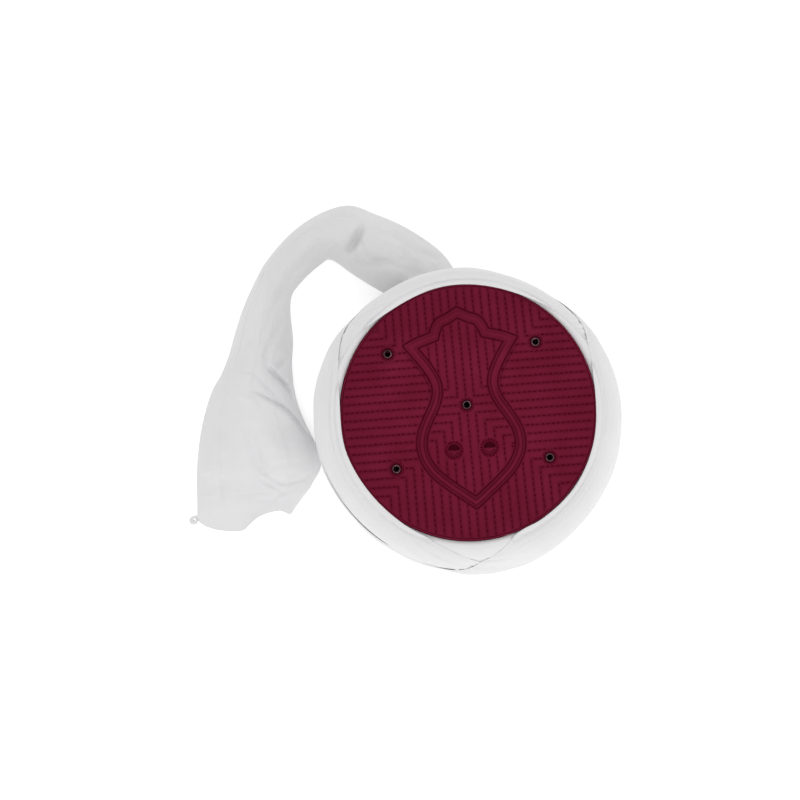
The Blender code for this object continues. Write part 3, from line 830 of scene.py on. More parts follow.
def crown_height(x, y):
    """Height of the quilted crown, and how dark its painted shade is: in its folds, grooves and holes, and
    darker towards its rim.
    """
    facts = crown_facts(x, y)
    number, _ = quilting_number(x, y, facts["in_inner"])
    off = np.abs(number - np.round(number)) * 2.0
    puff = np.clip(np.sin(np.pi * off / 2.0), 0.0, 1.0) ** PUFF_POWER
    plain = np.where(facts["in_band"], 0.0, smooth_step(*PLAIN_OFF_LINE, facts["line"]))
    low, high = EYELET_MARGIN
    plain = plain * smooth_step(EYELET_RING + low, EYELET_RING + high, facts["eyelet"])
    low, high = WORKED_MARGIN
    plain = plain * smooth_step(WORKED_RING + low, WORKED_RING + high, facts["worked"])
    plain = plain * (1.0 - smooth_step(SEAM_RADIUS - SEAM_MARGIN, SEAM_RADIUS, facts["radius"]))
    # Painted shade in the valleys along the rows of stitches
    dark = ROWS_SHADE * plain * bell(off * ROW_PITCH / 2.0, ROWS_SHADE_WIDTH)
    relief = PUFF_RELIEF * (puff * plain - PUFF_SINK) + PUFF_SINK * PUFF_RELIEF * (1.0 - plain)
    relief = relief + 0.00012 * crown_noise(x, y, 0.011, 5, 40.0) + 0.00005 * crown_noise(x, y, 0.0024, 6)

    along = y / CROWN_RADIUS
    arms = smooth_step(*ARMS_FROM, along)
    flanks = smooth_step(*FLANKS_FROM, along) * (1.0 - arms)
    faded = WEAK_LINE * (1.0 - ARMS_FADE * arms)
    outside = ~(facts["in_band"] | facts["in_inner"])
    lines = (
        ("outer", 1.0, np.where(facts["in_band"], faded * (1.0 - flanks), 1.0)),
        ("inner", 1.0, np.where(facts["in_band"], faded, 1.0)),
        ("outer", 3.0, np.where(outside, WEAK_LINE * flanks, 0.0)),
    )
    # Each sewn line is a groove with painted shade along it
    for name, place, strength in lines:
        away = facts[name] - place * PAIR_HALF
        relief = relief - PAIR_GROOVE * strength * bell(away, GROOVE_WIDTH)
        dark = dark + LINES_SHADE * strength * bell(away, LINES_SHADE_WIDTH)
    for name in ("outer", "inner"):
        relief = relief + PAIR_RIDGE * bell(facts[name], RIDGE_WIDTH)
    plateau = np.where(facts["in_band"], smooth_step(*CREST_SLOPE, facts["line"]), 0.0)
    relief = relief + CREST_RELIEF * plateau

    wander = crown_noise(x, y, 0.0016, 7)
    around = facts["eyelet"] + 0.00022 * wander
    patchy = 0.65 + 0.35 * wander
    relief = relief - 0.00045 * patchy * bell(around - EYELET_RING, 0.00045)
    relief = relief - 0.00040 * bell(around - EYELET_GROOVE, 0.00040)
    relief = relief + 0.00018 * bell(around - EYELET_SWELL, 0.0005)
    # Painted shade in the stitched ring round each eyelet and in the groove round its flange
    dark = dark + 0.60 * patchy * bell(around - EYELET_RING, 0.00040)
    dark = dark + bell(around - EYELET_GROOVE - 0.0002, 0.00070)

    hole_depth, hole_dark = hole_folds(x, y, facts["worked"])
    seam = facts["radius"] - SEAM_RADIUS
    relief = relief - WORKED_DEPTH * hole_depth - 0.00060 * bell(seam, 0.00035)
    # Painted shade in the pressed holes and along the seam's groove
    dark = dark + hole_dark + SEAM_SHADE * bell(seam, 0.00030)
    # The crown is also made darker towards its rim
    dark = dark + RIM_SHADE * smooth_step(RIM_SHADE_FROM, CROWN_RADIUS, facts["radius"])
    return crown_top(np.minimum(facts["radius"], CROWN_RADIUS)) + relief, np.clip(dark, 0.0, 1.0)


def fine_zone(x, y):
    """Whether a point of the crown lies where the relief is too fine for the broad grid."""
    facts = crown_facts(x, y)
    near = facts["in_band"] | (facts["line"] < CREST_ZONE)
    near = near | (facts["eyelet"] < EYELET_RING + EYELET_ZONE)
    return near | (facts["worked"] < WORKED_RING + WORKED_ZONE)


def disc_grid(reach, spacing):
    """A square grid over a disc: its points, with those outside pulled onto the disc's edge, how
    far out they were, the cells that touch the disc, and the cells' middles."""
    half = int(math.ceil(reach / spacing)) + 1
    ticks = np.arange(-half, half + 1) * spacing
    x, y = np.meshgrid(ticks, ticks, indexing="ij")
    middle = (ticks[:-1] + ticks[1:]) / 2
    radius = np.hypot(x, y)
    touches = radius < reach - spacing * 0.2
    cells = touches[:-1, :-1] | touches[1:, :-1] | touches[1:, 1:] | touches[:-1, 1:]
    pull = np.where(radius > reach, reach / np.maximum(radius, 1e-9), 1.0)
    return x * pull, y * pull, radius, cells, np.meshgrid(middle, middle, indexing="ij")


def cells_at_points(keep):
    """How many of the kept cells meet at each point of a grid."""
    used = np.zeros((keep.shape[0] + 1, keep.shape[1] + 1), dtype=int)
    for row in (slice(0, -1), slice(1, None)):
        for column in (slice(0, -1), slice(1, None)):
            used[row, column] += keep
    return used


def cell_faces(keep, shown):
    """Quads of the kept cells between the shown points, which face up."""
    number = np.cumsum(shown.ravel()).reshape(shown.shape) - 1
    corners = (number[:-1, :-1], number[1:, :-1], number[1:, 1:], number[:-1, 1:])
    return np.stack([corner[keep] for corner in corners], axis=1)


def make_crown_patch(name, spacing, fine, look, node=None):
    """The fine or the broad part of the quilted top, as a grid. Where the two lie over each
    other, the border of each dips just under the other one."""
    x, y, radius, wanted, (cell_x, cell_y) = disc_grid(FIELD_RADIUS, spacing)
    zone = np.zeros(wanted.shape, dtype=bool)
    zone[wanted] = fine_zone(cell_x[wanted], cell_y[wanted])
    wanted &= nearest_place(EYELET_PLACES, cell_x, cell_y) > (EYELET_HOLE + EYELET_FLANGE) / 2
    if fine:
        keep = wanted & zone
    else:
        keep = wanted & ~zone
        for axis in (0, 1):
            for shift in (-1, 1):
                keep = keep | (wanted & np.roll(~zone, shift, axis=axis))
    used = cells_at_points(keep)
    border = (used < 4) & (radius < FIELD_RADIUS - 2 * spacing)
    shown = used > 0
    z, dark = crown_height(x[shown], y[shown])
    z = z - np.where(border[shown], BORDER_DIP, 0.0)
    points = np.stack([x[shown], y[shown], z], axis=1)
    mesh = mesh_from(name, points, cell_faces(keep, shown), dark)
    return link(name, mesh, look, node)


def lathe(rings, sides, place=(0.0, 0.0)):
    """Points of rings round an upright axis at a place. Each ring has a radius and a height."""
    angle = np.arange(sides) * math.tau / sides
    around = [
        (place[0] + r * np.cos(angle), place[1] + r * np.sin(angle), np.broadcast_to(z, sides))
        for r, z in rings
    ]
    return np.concatenate([np.stack(ring, axis=1) for ring in around])


def make_crown_rim(look):
    """The crown's outermost ring: the seam, and the edge turned down to the cap's wall."""
    sides = 720
    angle = np.arange(sides) * math.tau / sides
    rings = []
    shades = []
    for radius in np.linspace(FIELD_RADIUS, CROWN_RADIUS - RIM_TURN, 12):
        z, dark = crown_height(radius * np.cos(angle), radius * np.sin(angle))
        rings.append((radius, z))
        shades.append(dark)
    edge = rings[-1][1]
    for part in np.radians(np.linspace(0.0, 90.0, 6)[1:]):
        radius = CROWN_RADIUS - RIM_TURN + RIM_TURN * math.sin(part)
        rings.append((radius, edge - RIM_TURN * (1.0 - math.cos(part))))
        shades.append(np.zeros(sides))
    # The crown's edge underneath gets painted shade
    for radius in (CROWN_RADIUS, CROWN_RADIUS - 0.004):
        rings.append((radius, CAP_HEIGHT - CROWN_THICKNESS))
        shades.append(np.full(sides, 0.5))
    faces = grid_faces(len(rings), sides, False, True)
    mesh = mesh_from("crown_rim", lathe(rings, sides), faces, np.concatenate(shades))
    return link("crown_rim", mesh, look)


def make_crown_lining(look):
    """The crown's underside, seen from the head's hollow, with the eyelets' holes through it."""
    x, y, _, keep, middles = disc_grid(cap_radius(CAP_HEIGHT) - 0.0002, LINING_SPACING)
    keep = keep & (nearest_place(EYELET_PLACES, *middles) > EYELET_HOLE + 0.0003)
    shown = cells_at_points(keep) > 0
    rise = crown_top(np.minimum(np.hypot(x, y), CROWN_RADIUS)) - CAP_HEIGHT
    z = CAP_HEIGHT - CROWN_THICKNESS + rise + 0.00015 * crown_noise(x, y, 0.006, 9)
    points = np.stack([x[shown], y[shown], z[shown]], axis=1)
    faces = cell_faces(keep, shown)[:, [0, 3, 2, 1]]
    return link("crown_lining", mesh_from("crown_lining", points, faces), look)


# Threads

CAPSULE_SIDES = 6
CAPSULE_RINGS = ((-0.50, 0.30, -0.9), (-0.22, 0.95, 0.2), (0.22, 0.95, 0.2), (0.50, 0.30, -0.9))
# Stitches round the eyelets and the worked holes: how far out, how many, the longest, and how
# high they lie
RING_THREADS = (
    (EYELET_PLACES, EYELET_RING, 12, 0.0016, -0.00010),
    (WORKED_PLACES, WORKED_RING, 18, 0.0013, 0.00006),
)


def capsules(places, directions, lengths, radius):
    """Short rounded stitches lying flat: their points and faces, as arrays."""
    angle = np.arange(CAPSULE_SIDES) * math.tau / CAPSULE_SIDES
    count = len(places)
    sideways = np.stack([-directions[:, 1], directions[:, 0], np.zeros(count)], axis=1)
    along = np.concatenate([directions, np.zeros((count, 1))], axis=1)
    rings = []
    for share, width, rise in CAPSULE_RINGS:
        centre = places + along * (lengths * share)[:, None] + np.array([0.0, 0.0, rise * radius])
        for turn in angle:
            out = sideways * math.cos(turn) * width * radius
            rings.append(centre + out + np.array([0.0, 0.0, math.sin(turn) * width * radius]))
    points = np.stack(rings, axis=1)
    each = len(CAPSULE_RINGS) * CAPSULE_SIDES
    one = grid_faces(len(CAPSULE_RINGS), CAPSULE_SIDES, False, True)
    ends = []
    last = each - CAPSULE_SIDES
    for start in (0, last):
        order = [start + side for side in range(CAPSULE_SIDES)]
        order = order[::-1] if start == 0 else order
        ends += [(order[0], order[1], order[2], order[3]), (order[0], order[3], order[4], order[5])]
    one = np.concatenate([one, np.array(ends)])
    faces = (one[None, :, :] + (np.arange(count) * each)[:, None, None]).reshape(-1, 4)
    return points.reshape(-1, 3), faces


def row_stitches(rng):
    """Places and directions of the running stitches of the quilting rows."""
    places = []
    directions = []
    reach = int(CROWN_RADIUS / ROW_PITCH) + 2
    for upright in (True, False):
        for number in range(-reach, reach + 1):
            start = rng.uniform(0.0, STITCH_PERIOD)
            along = np.arange(-CROWN_RADIUS + start, CROWN_RADIUS, STITCH_PERIOD)
            along = along + rng.uniform(-0.0002, 0.0002, along.shape)
            if upright:
                y = along + FRONT_STITCHES * np.minimum(along + 0.03, 0.0)
                x = number * ROW_PITCH / (1.0 + ROW_SPREAD[0] * y) + ROW_CENTRE[0] - ROW_LEAN[0] * y
                direction = (-ROW_LEAN[0], 1.0)
            else:
                x = along
                flat = number * ROW_PITCH
                for _ in range(5):
                    flat = number * ROW_PITCH / (1.0 + ROW_SPREAD[1] * flat)
                y = flat + ROW_CENTRE[1] - ROW_LEAN[1] * x
                direction = (1.0, -ROW_LEAN[1])
            facts = crown_facts(x, y)
            _, columns_here = quilting_number(x, y, facts["in_inner"])
            keep = columns_here == upright
            keep &= facts["radius"] < SEAM_RADIUS - STITCHES_OFF_SEAM
            keep &= ~facts["in_band"] & (facts["line"] > STITCHES_OFF_LINE)
            keep &= facts["eyelet"] > EYELET_RING + STITCHES_OFF_EYELET
            keep &= facts["worked"] > WORKED_RING + STITCHES_OFF_WORKED
            for px, py in zip(x[keep], y[keep]):
                lean = rng.normal(0.0, 0.05)
                places.append((px + rng.normal(0.0, 0.00010), py + rng.normal(0.0, 0.00010)))
                directions.append((direction[0] - lean * direction[1], direction[1] + lean * direction[0]))
    return np.array(places), np.array(directions)


def line_stitches(outline, off, period):
    """Stitches that follow a closed outline at a distance, end to end."""
    line = moved_line(outline, off)
    runs = np.roll(line, -1, axis=0) - line
    lengths = np.linalg.norm(runs, axis=1)
    total = lengths.sum()
    count = int(round(total / period))
    at = (np.arange(count) + 0.5) * total / count
    starts = np.concatenate([[0.0], np.cumsum(lengths)[:-1]])
    index = np.searchsorted(starts, at, side="right") - 1
    share = (at - starts[index]) / lengths[index]
    return line[index] + runs[index] * share[:, None], runs[index] / lengths[index][:, None]


def ring_stitches(place, radius, count, start):
    angle = start + np.arange(count) * math.tau / count
    around = np.stack([np.cos(angle), np.sin(angle)], axis=1)
    return place + around * radius, np.stack([-around[:, 1], around[:, 0]], axis=1)


def make_stitching(look):
    rng = np.random.default_rng(21)
    groups = []
    places, directions = row_stitches(rng)
    groups.append((places, directions, STITCH_LENGTH * rng.uniform(0.85, 1.12, len(places)), 0.00006))
    for outline, off in ((OUTER_LINE, -PAIR_HALF), (INNER_LINE, PAIR_HALF)):
        places, directions = line_stitches(outline, off, LINE_PERIOD)
        lengths = LINE_STITCH_LENGTH * rng.uniform(0.9, 1.1, len(places))
        groups.append((places, directions, lengths, 0.00002))
    for spots, radius, count, longest, above in RING_THREADS:
        for place in spots.values():
            places, directions = ring_stitches(place, radius, count, rng.uniform(0.0, 1.0))
            groups.append((places, directions, rng.uniform(0.0008, longest, count), above))
    points = []
    faces = []
    start = 0
    for places, directions, lengths, above in groups:
        directions = directions / np.linalg.norm(directions, axis=1)[:, None]
        z, _ = crown_height(places[:, 0], places[:, 1])
        where = np.concatenate([places, (z + above)[:, None]], axis=1)
        some, joined = capsules(where, directions, lengths, THREAD_RADIUS)
        points.append(some)
        faces.append(joined + start)
        start += len(some)
    mesh = mesh_from("stitching", np.concatenate(points), np.concatenate(faces))
    return link("stitching", mesh, look)


def make_worked_ring(name, look):
    """A ring of close radial stitches round a worked hole."""
    place = WORKED_PLACES[name]
    rng = np.random.default_rng(31 + len(name))
    angle = np.arange(WORKED_STITCHES) * math.tau / WORKED_STITCHES
    angle = angle + rng.normal(0.0, 0.025, WORKED_STITCHES)
    around = np.stack([np.cos(angle), np.sin(angle)], axis=1)
    middle = (WORKED_HOLE + 0.0004 + WORKED_RING) / 2
    length = (WORKED_RING - WORKED_HOLE) * rng.uniform(0.70, 0.95, WORKED_STITCHES)
    spots = place + around * middle
    z, _ = crown_height(spots[:, 0], spots[:, 1])
    where = np.concatenate([spots, (z + 0.0002)[:, None]], axis=1)
    points, faces = capsules(where, around, length, WORKED_THREAD_RADIUS)
    piece = link("worked_ring_" + name, mesh_from("worked_ring", points, faces), look)
    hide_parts("worked_eyelet_" + name)
    return piece


def make_eyelet(name, look):
    """A pressed metal eyelet: a rolled flange and a barrel down through the crown."""
    place = EYELET_PLACES[name]
    base = float(crown_top(np.hypot(*place)))
    middle = (EYELET_HOLE + EYELET_ROLL + EYELET_FLANGE) / 2
    half = (EYELET_FLANGE - EYELET_HOLE - EYELET_ROLL) / 2
    section = [(EYELET_HOLE + 0.0004, -CROWN_THICKNESS), (EYELET_HOLE + 0.0004, 0.0002)]
    section += [(EYELET_FLANGE - 0.0001, 0.00022)]
    for step in range(13):
        part = math.radians(-20.0 + 200.0 * step / 12)
        rise = SEAM_GAP + EYELET_LIP * (0.35 + 0.95 * math.sin(part))
        section.append((middle + half * math.cos(part), rise))
    section += [(EYELET_HOLE, 0.0001), (EYELET_HOLE, -CROWN_THICKNESS)]
    sides = 56
    points = lathe([(radius, base + z) for radius, z in section], sides, place)
    faces = grid_faces(len(section), sides, True, True)[:, ::-1]
    mesh = mesh_from("eyelet", points, faces)
    return link("eyelet_ring_" + name, mesh, look, "eyelet_" + name)


def make_side_band(look):
    """The cap's quilted wall with a bound rim, open below."""
    sides = 360
    angle = np.arange(sides) * math.tau / sides
    top = CAP_HEIGHT - CROWN_THICKNESS - SEAM_GAP
    heights = np.linspace(0.0030, top, 50)
    binding = 0.0018

    def wall(inner):
        rings = []
        for z in heights:
            off = abs((z / ROW_PITCH + 0.5) % 1.0 - 0.5) * 2.0
            puff = PUFF_RELIEF * 0.7 * (math.sin(math.pi * off / 2.0) ** PUFF_POWER - 1.0)
            puff = puff + 0.0001 * soft_noise(angle * 40.0 / math.tau, z / 0.004, 12, 40)
            rings.append((cap_radius(z) - (CAP_WALL - puff if inner else -puff), z))
        return rings

    rings = wall(False)[::-1]
    for step in range(9):
        part = math.pi * step / 8
        radius = cap_radius(0.0) - CAP_WALL / 2 + (CAP_WALL / 2) * math.cos(part)
        rings.append((radius, binding - binding * math.sin(part)))
    rings += wall(True)
    mesh = mesh_from("side_band_quilting", lathe(rings, sides), grid_faces(len(rings), sides, True, True))
    piece = link("side_band_quilting", mesh, look, "side_band")
    return piece


# Wound cloth


def section_point(azimuth, share):
    """Radius and height of the wound core's outer face, which goes on flat past its top."""
    angle = np.pi * np.clip(share, 0.0, 1.0)
    z = WRAP_FOOT + (WRAP_TOP - WRAP_FOOT) * (1.0 - np.cos(angle)) / 2.0
    out = WRAP_BULGE * read(WRAP_BULGES, "share", azimuth, 360.0) - WRAP_EDGE
    out = out + read(WRAP_BULGES, "fill", azimuth, 360.0)
    radius = cap_radius(z) + CLOTH_GAP + WRAP_EDGE + out * np.maximum(np.sin(angle), 0.0) ** SECTION_POWER
    return radius - np.maximum(share - 1.0, 0.0) * (WRAP_TOP - WRAP_FOOT) * 1.2, z


def section_normal(azimuth, share):
    step = 0.01
    share = np.minimum(share, 1.0 - step)
    before = section_point(azimuth, np.maximum(share - step, 0.0))
    after = section_point(azimuth, share + step)
    along_r = after[0] - before[0]
    along_z = after[1] - before[1]
    length = np.hypot(along_r, along_z)
    return along_z / length, -along_r / length


def turn_span(edges, azimuth):
    """Lower and upper edge of a turn of cloth, in shares of the wrap's section."""
    top = read(edges, "top", azimuth, 360.0)
    return LOWEST_FOOT + FOOT_PER_TOP * (top - LOWEST_TOP), top


def crown_rise(radius, z):
    """How far cloth at this point of the section rises to lap over the crown's edge."""
    outside = (radius - CROWN_RADIUS) / WRAP_EDGE
    near = 1.0 - smooth_step(CROWN_LAP_FROM, CROWN_LAP_TO, outside)
    return near * np.maximum(crown_top(np.minimum(radius, CROWN_RADIUS)) - z, 0.0)


def turn_point(azimuth, share, out):
    """Radius and height of a point that stands out by this much over the wound core."""
    radius, z = section_point(azimuth, share)
    normal = section_normal(azimuth, share)
    return radius + normal[0] * out, z + normal[1] * out + crown_rise(radius, z)


def turn_envelope(across):
    """Greatest thickness of a turn of cloth across its width, with its pleats."""
    edge = TURN_EDGE + (1.0 - TURN_EDGE) * np.clip(np.sin(np.pi * across), 0.0, 1.0) ** 0.7
    return (TURN_THICKNESS + TURN_GAP + TURN_PLEAT) * edge


def laid_height(level, azimuth, share):
    """How high over the wound core a turn is laid: on the turns under it, and draped down
    beside their edges."""
    highest = np.zeros(np.broadcast(azimuth, share).shape)
    for lower, edges in enumerate(list(TURNS.values())[:level]):
        foot, top = turn_span(edges, azimuth)
        outside = np.maximum(np.maximum(foot - share, share - top), 0.0)
        cover = 1.0 - smooth_step(0.0, DRAPE_RAMP, outside)
        across = np.clip((share - foot) / (top - foot), 0.0, 1.0)
        own = laid_height(lower, azimuth, share) + turn_envelope(across)
        highest = np.maximum(highest, cover * own)
    return highest - LAID_SINK


def knife_pleats(azimuth, across, count, height, seed):
    """Relief of pleats that lie over each other like steps and run along a turn of cloth."""
    rng = np.random.default_rng(seed)
    relief = np.zeros(np.broadcast(azimuth, across).shape)
    angle = np.radians(azimuth)
    for index in range(count):
        base = (index + 0.5 + rng.uniform(-0.3, 0.3)) / count
        drift = 0.0
        for wave in (1, 2, 3):
            drift = drift + rng.normal(0.0, 0.035 / wave) * np.sin(wave * angle + rng.uniform(0.0, math.tau))
        strength = 0.55 + 0.45 * np.sin(rng.integers(1, 4) * angle + rng.uniform(0.0, math.tau))
        strength = strength * (0.8 + 0.4 * soft_noise(azimuth / 9.0, index * 3.7, seed + 1, 40))
        away = across - base - drift
        width = rng.uniform(0.7, 1.3) / count
        step = smooth_step(-0.006, 0.010, away) * np.exp(-np.maximum(away, 0.0) / width)
        relief = relief + height * rng.uniform(0.6, 1.2) * np.clip(strength, 0.0, 1.2) * step
        relief = relief - 0.35 * height * np.clip(strength, 0.0, 1.2) * bell(away + 0.008, 0.014)
    return relief


def turn_place(azimuth, share):
    """Where a point of the wrap lies when the wrap is laid out flat."""
    return np.stack([np.radians(azimuth) * TURN_LENGTH, share * TURN_WIDTH], axis=-1)


def turn_relief(level, azimuth, across, share):
    """Thickness of a turn of cloth: rolled edges, pleats along it and soft unevenness."""
    pleats = knife_pleats(azimuth, across, 7, 0.00075, 51 + 10 * level)
    fine = knife_pleats(azimuth, across, 16, 0.00022, 151 + 10 * level)
    swell = 0.0003 * soft_noise(azimuth / 12.0, across * 3.0, 71 + level, 30)
    inside = off_edges(across)
    relief = np.minimum(pleats + fine + swell - 0.0009, 0.0)
    flat = turn_place(azimuth, share)
    relief = relief + crease_relief(flat[..., 0], flat[..., 1], TURN_CREASES, turn_place)
    return turn_envelope(across) + relief * inside


def ring_points(azimuth, radius, z):
    angle = np.radians(azimuth)
    return np.stack([radius * np.cos(angle), radius * np.sin(angle), z], axis=-1)


def turn_grid(edges, azimuth, across):
    """Azimuths, shares across the turn and shares of the wrap's section at a turn's points."""
    azimuth, across = np.meshgrid(azimuth, across, indexing="ij")
    foot, top = turn_span(edges, azimuth)
    return azimuth, across, foot + (top - foot) * across


def wound_piece(name, node, outer, inner, look):
    """Cloth that closes on itself right round the cap, and round its own section."""
    rings = np.concatenate([outer, inner], axis=1)
    faces = grid_faces(rings.shape[0], rings.shape[1], True, True)
    return link(name, mesh_from(node, rings.reshape(-1, 3), faces), look, node)


def make_turn(level, name, look):
    """One turn of the cloth, right round the wound core."""
    azimuth = np.arange(TURN_SIDES) * 360.0 / TURN_SIDES
    even = np.linspace(0.0, 1.0, TURN_COLUMNS)
    az, across, share = turn_grid(TURNS[name], azimuth, 0.5 * (0.5 - 0.5 * np.cos(np.pi * even)) + 0.5 * even)
    out = laid_height(level, az, share) + turn_relief(level, az, across, share)
    upper = ring_points(az, *turn_point(az, share, out))
    az, _, share = turn_grid(TURNS[name], azimuth, np.linspace(1.0, 0.0, UNDER_COLUMNS))
    under = ring_points(az, *turn_point(az, share, laid_height(level, az, share)))
    piece = wound_piece(name + "_cloth", name, upper, under, look)
    return piece


def make_core(look):
    """The wound cloth under the last turns, and its plain inner face against the cap."""
    azimuth = np.arange(CORE_SIDES) * 360.0 / CORE_SIDES
    az, at = np.meshgrid(azimuth, np.linspace(0.0, 1.0, CORE_COLUMNS), indexing="ij")
    radius, z = section_point(az, at)
    normal = section_normal(az, at)
    relief = (knife_pleats(az, at, 11, 0.0006, 41) - 0.0005) * off_edges(at, 0.02, 0.10)
    relief = np.minimum(relief, 0.0003)
    outer = ring_points(az, radius + normal[0] * relief, z + normal[1] * relief)
    az, at = np.meshgrid(azimuth, np.linspace(1.0, 0.0, CORE_INNER_COLUMNS), indexing="ij")
    z = WRAP_FOOT + (WRAP_TOP - WRAP_FOOT) * at
    inner = ring_points(az, cap_radius(z) + CLOTH_GAP, z)
    piece = wound_piece("wrap_core_cloth", "wrap_core", outer, inner, look)
    return piece


# The free end


def wrap_reach(azimuth, z):
    """Greatest radius of all the wound cloth at these places."""
    shape = np.broadcast(azimuth, z).shape
    flat_azimuth = np.broadcast_to(azimuth, shape).ravel()
    flat_z = np.maximum(np.broadcast_to(z, shape).ravel(), WRAP_FOOT * 3)
    reach = cap_radius(flat_z)
    outlines = [section_point(flat_azimuth[:, None], np.linspace(0.0, 1.0, 25)[None, :])]
    for level, edges in enumerate(TURNS.values()):
        foot, top = turn_span(edges, flat_azimuth)
        share = foot[:, None] + (top - foot)[:, None] * np.linspace(0.0, 1.0, 17)[None, :]
        out = laid_height(level, flat_azimuth[:, None], share) + turn_envelope(0.5)
        outlines.append(turn_point(flat_azimuth[:, None], share, out))
    for radius, height in outlines:
        for step in range(radius.shape[1] - 1):
            low = height[:, step]
            high = height[:, step + 1]
            between = (np.minimum(low, high) <= flat_z) & (flat_z <= np.maximum(low, high)) & (low != high)
            share = np.where(between, (flat_z - low) / np.where(low == high, 1.0, high - low), 0.0)
            here = radius[:, step] + (radius[:, step + 1] - radius[:, step]) * share
            reach = np.where(between, np.maximum(reach, here), reach)
    return reach.reshape(shape)


def tail_edge_point(azimuth, off):
    """A point of the tail's outline seen from above, this share outside the wound cloth."""
    middle = (WRAP_FOOT + WRAP_TOP) / 2
    seat = cap_radius(middle) + CLOTH_GAP
    out = WRAP_BULGE * read(WRAP_BULGES, "share", azimuth, 360.0)
    turns = len(TURNS) * (TURN_GAP + TURN_THICKNESS)
    radius = seat + out + turns + off * TAIL_STANDOFF
    angle = np.radians(azimuth)
    return np.stack([radius * np.cos(angle), radius * np.sin(angle)], axis=-1)


def tail_plan(row, across):
    """Where the tail's cloth lies seen from above, from its inner edge to its outer one."""
    straight = np.minimum(row, TAIL_ROWS[-1].row)
    edges = []
    for side in ("inner", "outer"):
        azimuth = read(TAIL_ROWS, side + "_azimuth", straight)
        edges.append(tail_edge_point(azimuth, read(TAIL_ROWS, side + "_off", straight)))
    place = edges[0] + (edges[1] - edges[0]) * np.asarray(across)[..., None]
    hem = tail_edge_point(read(TAIL_HEM, "azimuth", across), read(TAIL_HEM, "off", across))
    return place + (hem - place) * hem_share(row)[..., None]


def hem_share(row):
    """How far a row is from the last straight one to the hem."""
    last = TAIL_ROWS[-1].row
    return np.clip((row - last) / (HEM_ROW - last), 0.0, 1.0)


def tail_height(row, across):
    """Height of the tail's upper face: a low mound with folds along it, thin at its hem."""
    straight = np.minimum(row, TAIL_ROWS[-1].row)
    full = TAIL_HEIGHT * read(TAIL_ROWS, "height", straight)
    mound = np.maximum(np.sin(np.pi * across), 0.0) ** 0.7
    relief = np.ones(np.broadcast(row, across).shape)
    for fold in TAIL_FOLDS:
        share = np.clip((row - fold.first_row) / (fold.last_row - fold.first_row), 0.0, 1.0)
        centre = fold.across_first + (fold.across_last - fold.across_first) * share
        along = np.maximum(np.sin(np.pi * share), 0.0) ** 0.5
        relief = relief + fold.rise * bell(across - centre, fold.width) * along
    for dent in TAIL_DENTS:
        away = ((row - dent.row) / dent.rows_wide) ** 2 + ((across - dent.across) / dent.width) ** 2
        relief = relief + dent.rise * np.exp(-away)
    body = full * (TAIL_EDGE + (1.0 - TAIL_EDGE) * mound * relief)
    hem = HEM_THICKNESS + read(TAIL_HEM, "lift", across)
    return body + (hem - body) * smooth_step(0.0, 1.0, hem_share(row)) ** 0.8


def tail_relief(row, across, place):
    """Finer folds of the gathered cloth: creases, faint pleats along it and unevenness."""
    pleats = knife_pleats(row * 14.0, across, 7, 0.0006, 91)
    fine = knife_pleats(row * 22.0, across, 15, 0.00022, 95)
    crumple = 0.0011 * soft_noise(row * 1.7, across * 4.0, 97)
    crumple = crumple + 0.0004 * soft_noise(row * 4.5, across * 9.0, 98)
    creases = crease_relief(place[..., 0], place[..., 1], TAIL_CREASES, tail_plan)
    before_hem = 1.0 - smooth_step(0.0, 1.0, hem_share(row))
    return (pleats + fine - 0.0004 + crumple + creases) * off_edges(across) * before_hem


def clear_of_wrap(points, row):
    """Points moved outwards until they are clear of the wound cloth, apart from the first rows,
    which are tucked under it."""
    radius = np.hypot(points[..., 0], points[..., 1])
    azimuth = np.degrees(np.arctan2(points[..., 1], points[..., 0]))
    gap = TAIL_CLEARANCE - (TAIL_CLEARANCE + TAIL_TUCK) * (1.0 - smooth_step(0.8, 2.4, row))
    least = wrap_reach(azimuth, points[..., 2]) + gap
    push = np.where(radius < least, least / radius, 1.0)
    return np.stack([points[..., 0] * push, points[..., 1] * push, points[..., 2]], axis=-1)


def end_faces(upper, lower):
    """Triangles that close an end of the tail, between its upper points and fewer lower ones."""
    step = (len(upper) - 1) // (len(lower) - 1)
    faces = []
    for index in range(len(lower) - 1):
        for point in range(index * step, (index + 1) * step):
            faces.append((lower[index], upper[point], upper[point + 1]))
        faces.append((lower[index], upper[(index + 1) * step], lower[index + 1]))
    return [[corner for number, corner in enumerate(face) if corner not in face[:number]] for face in faces]


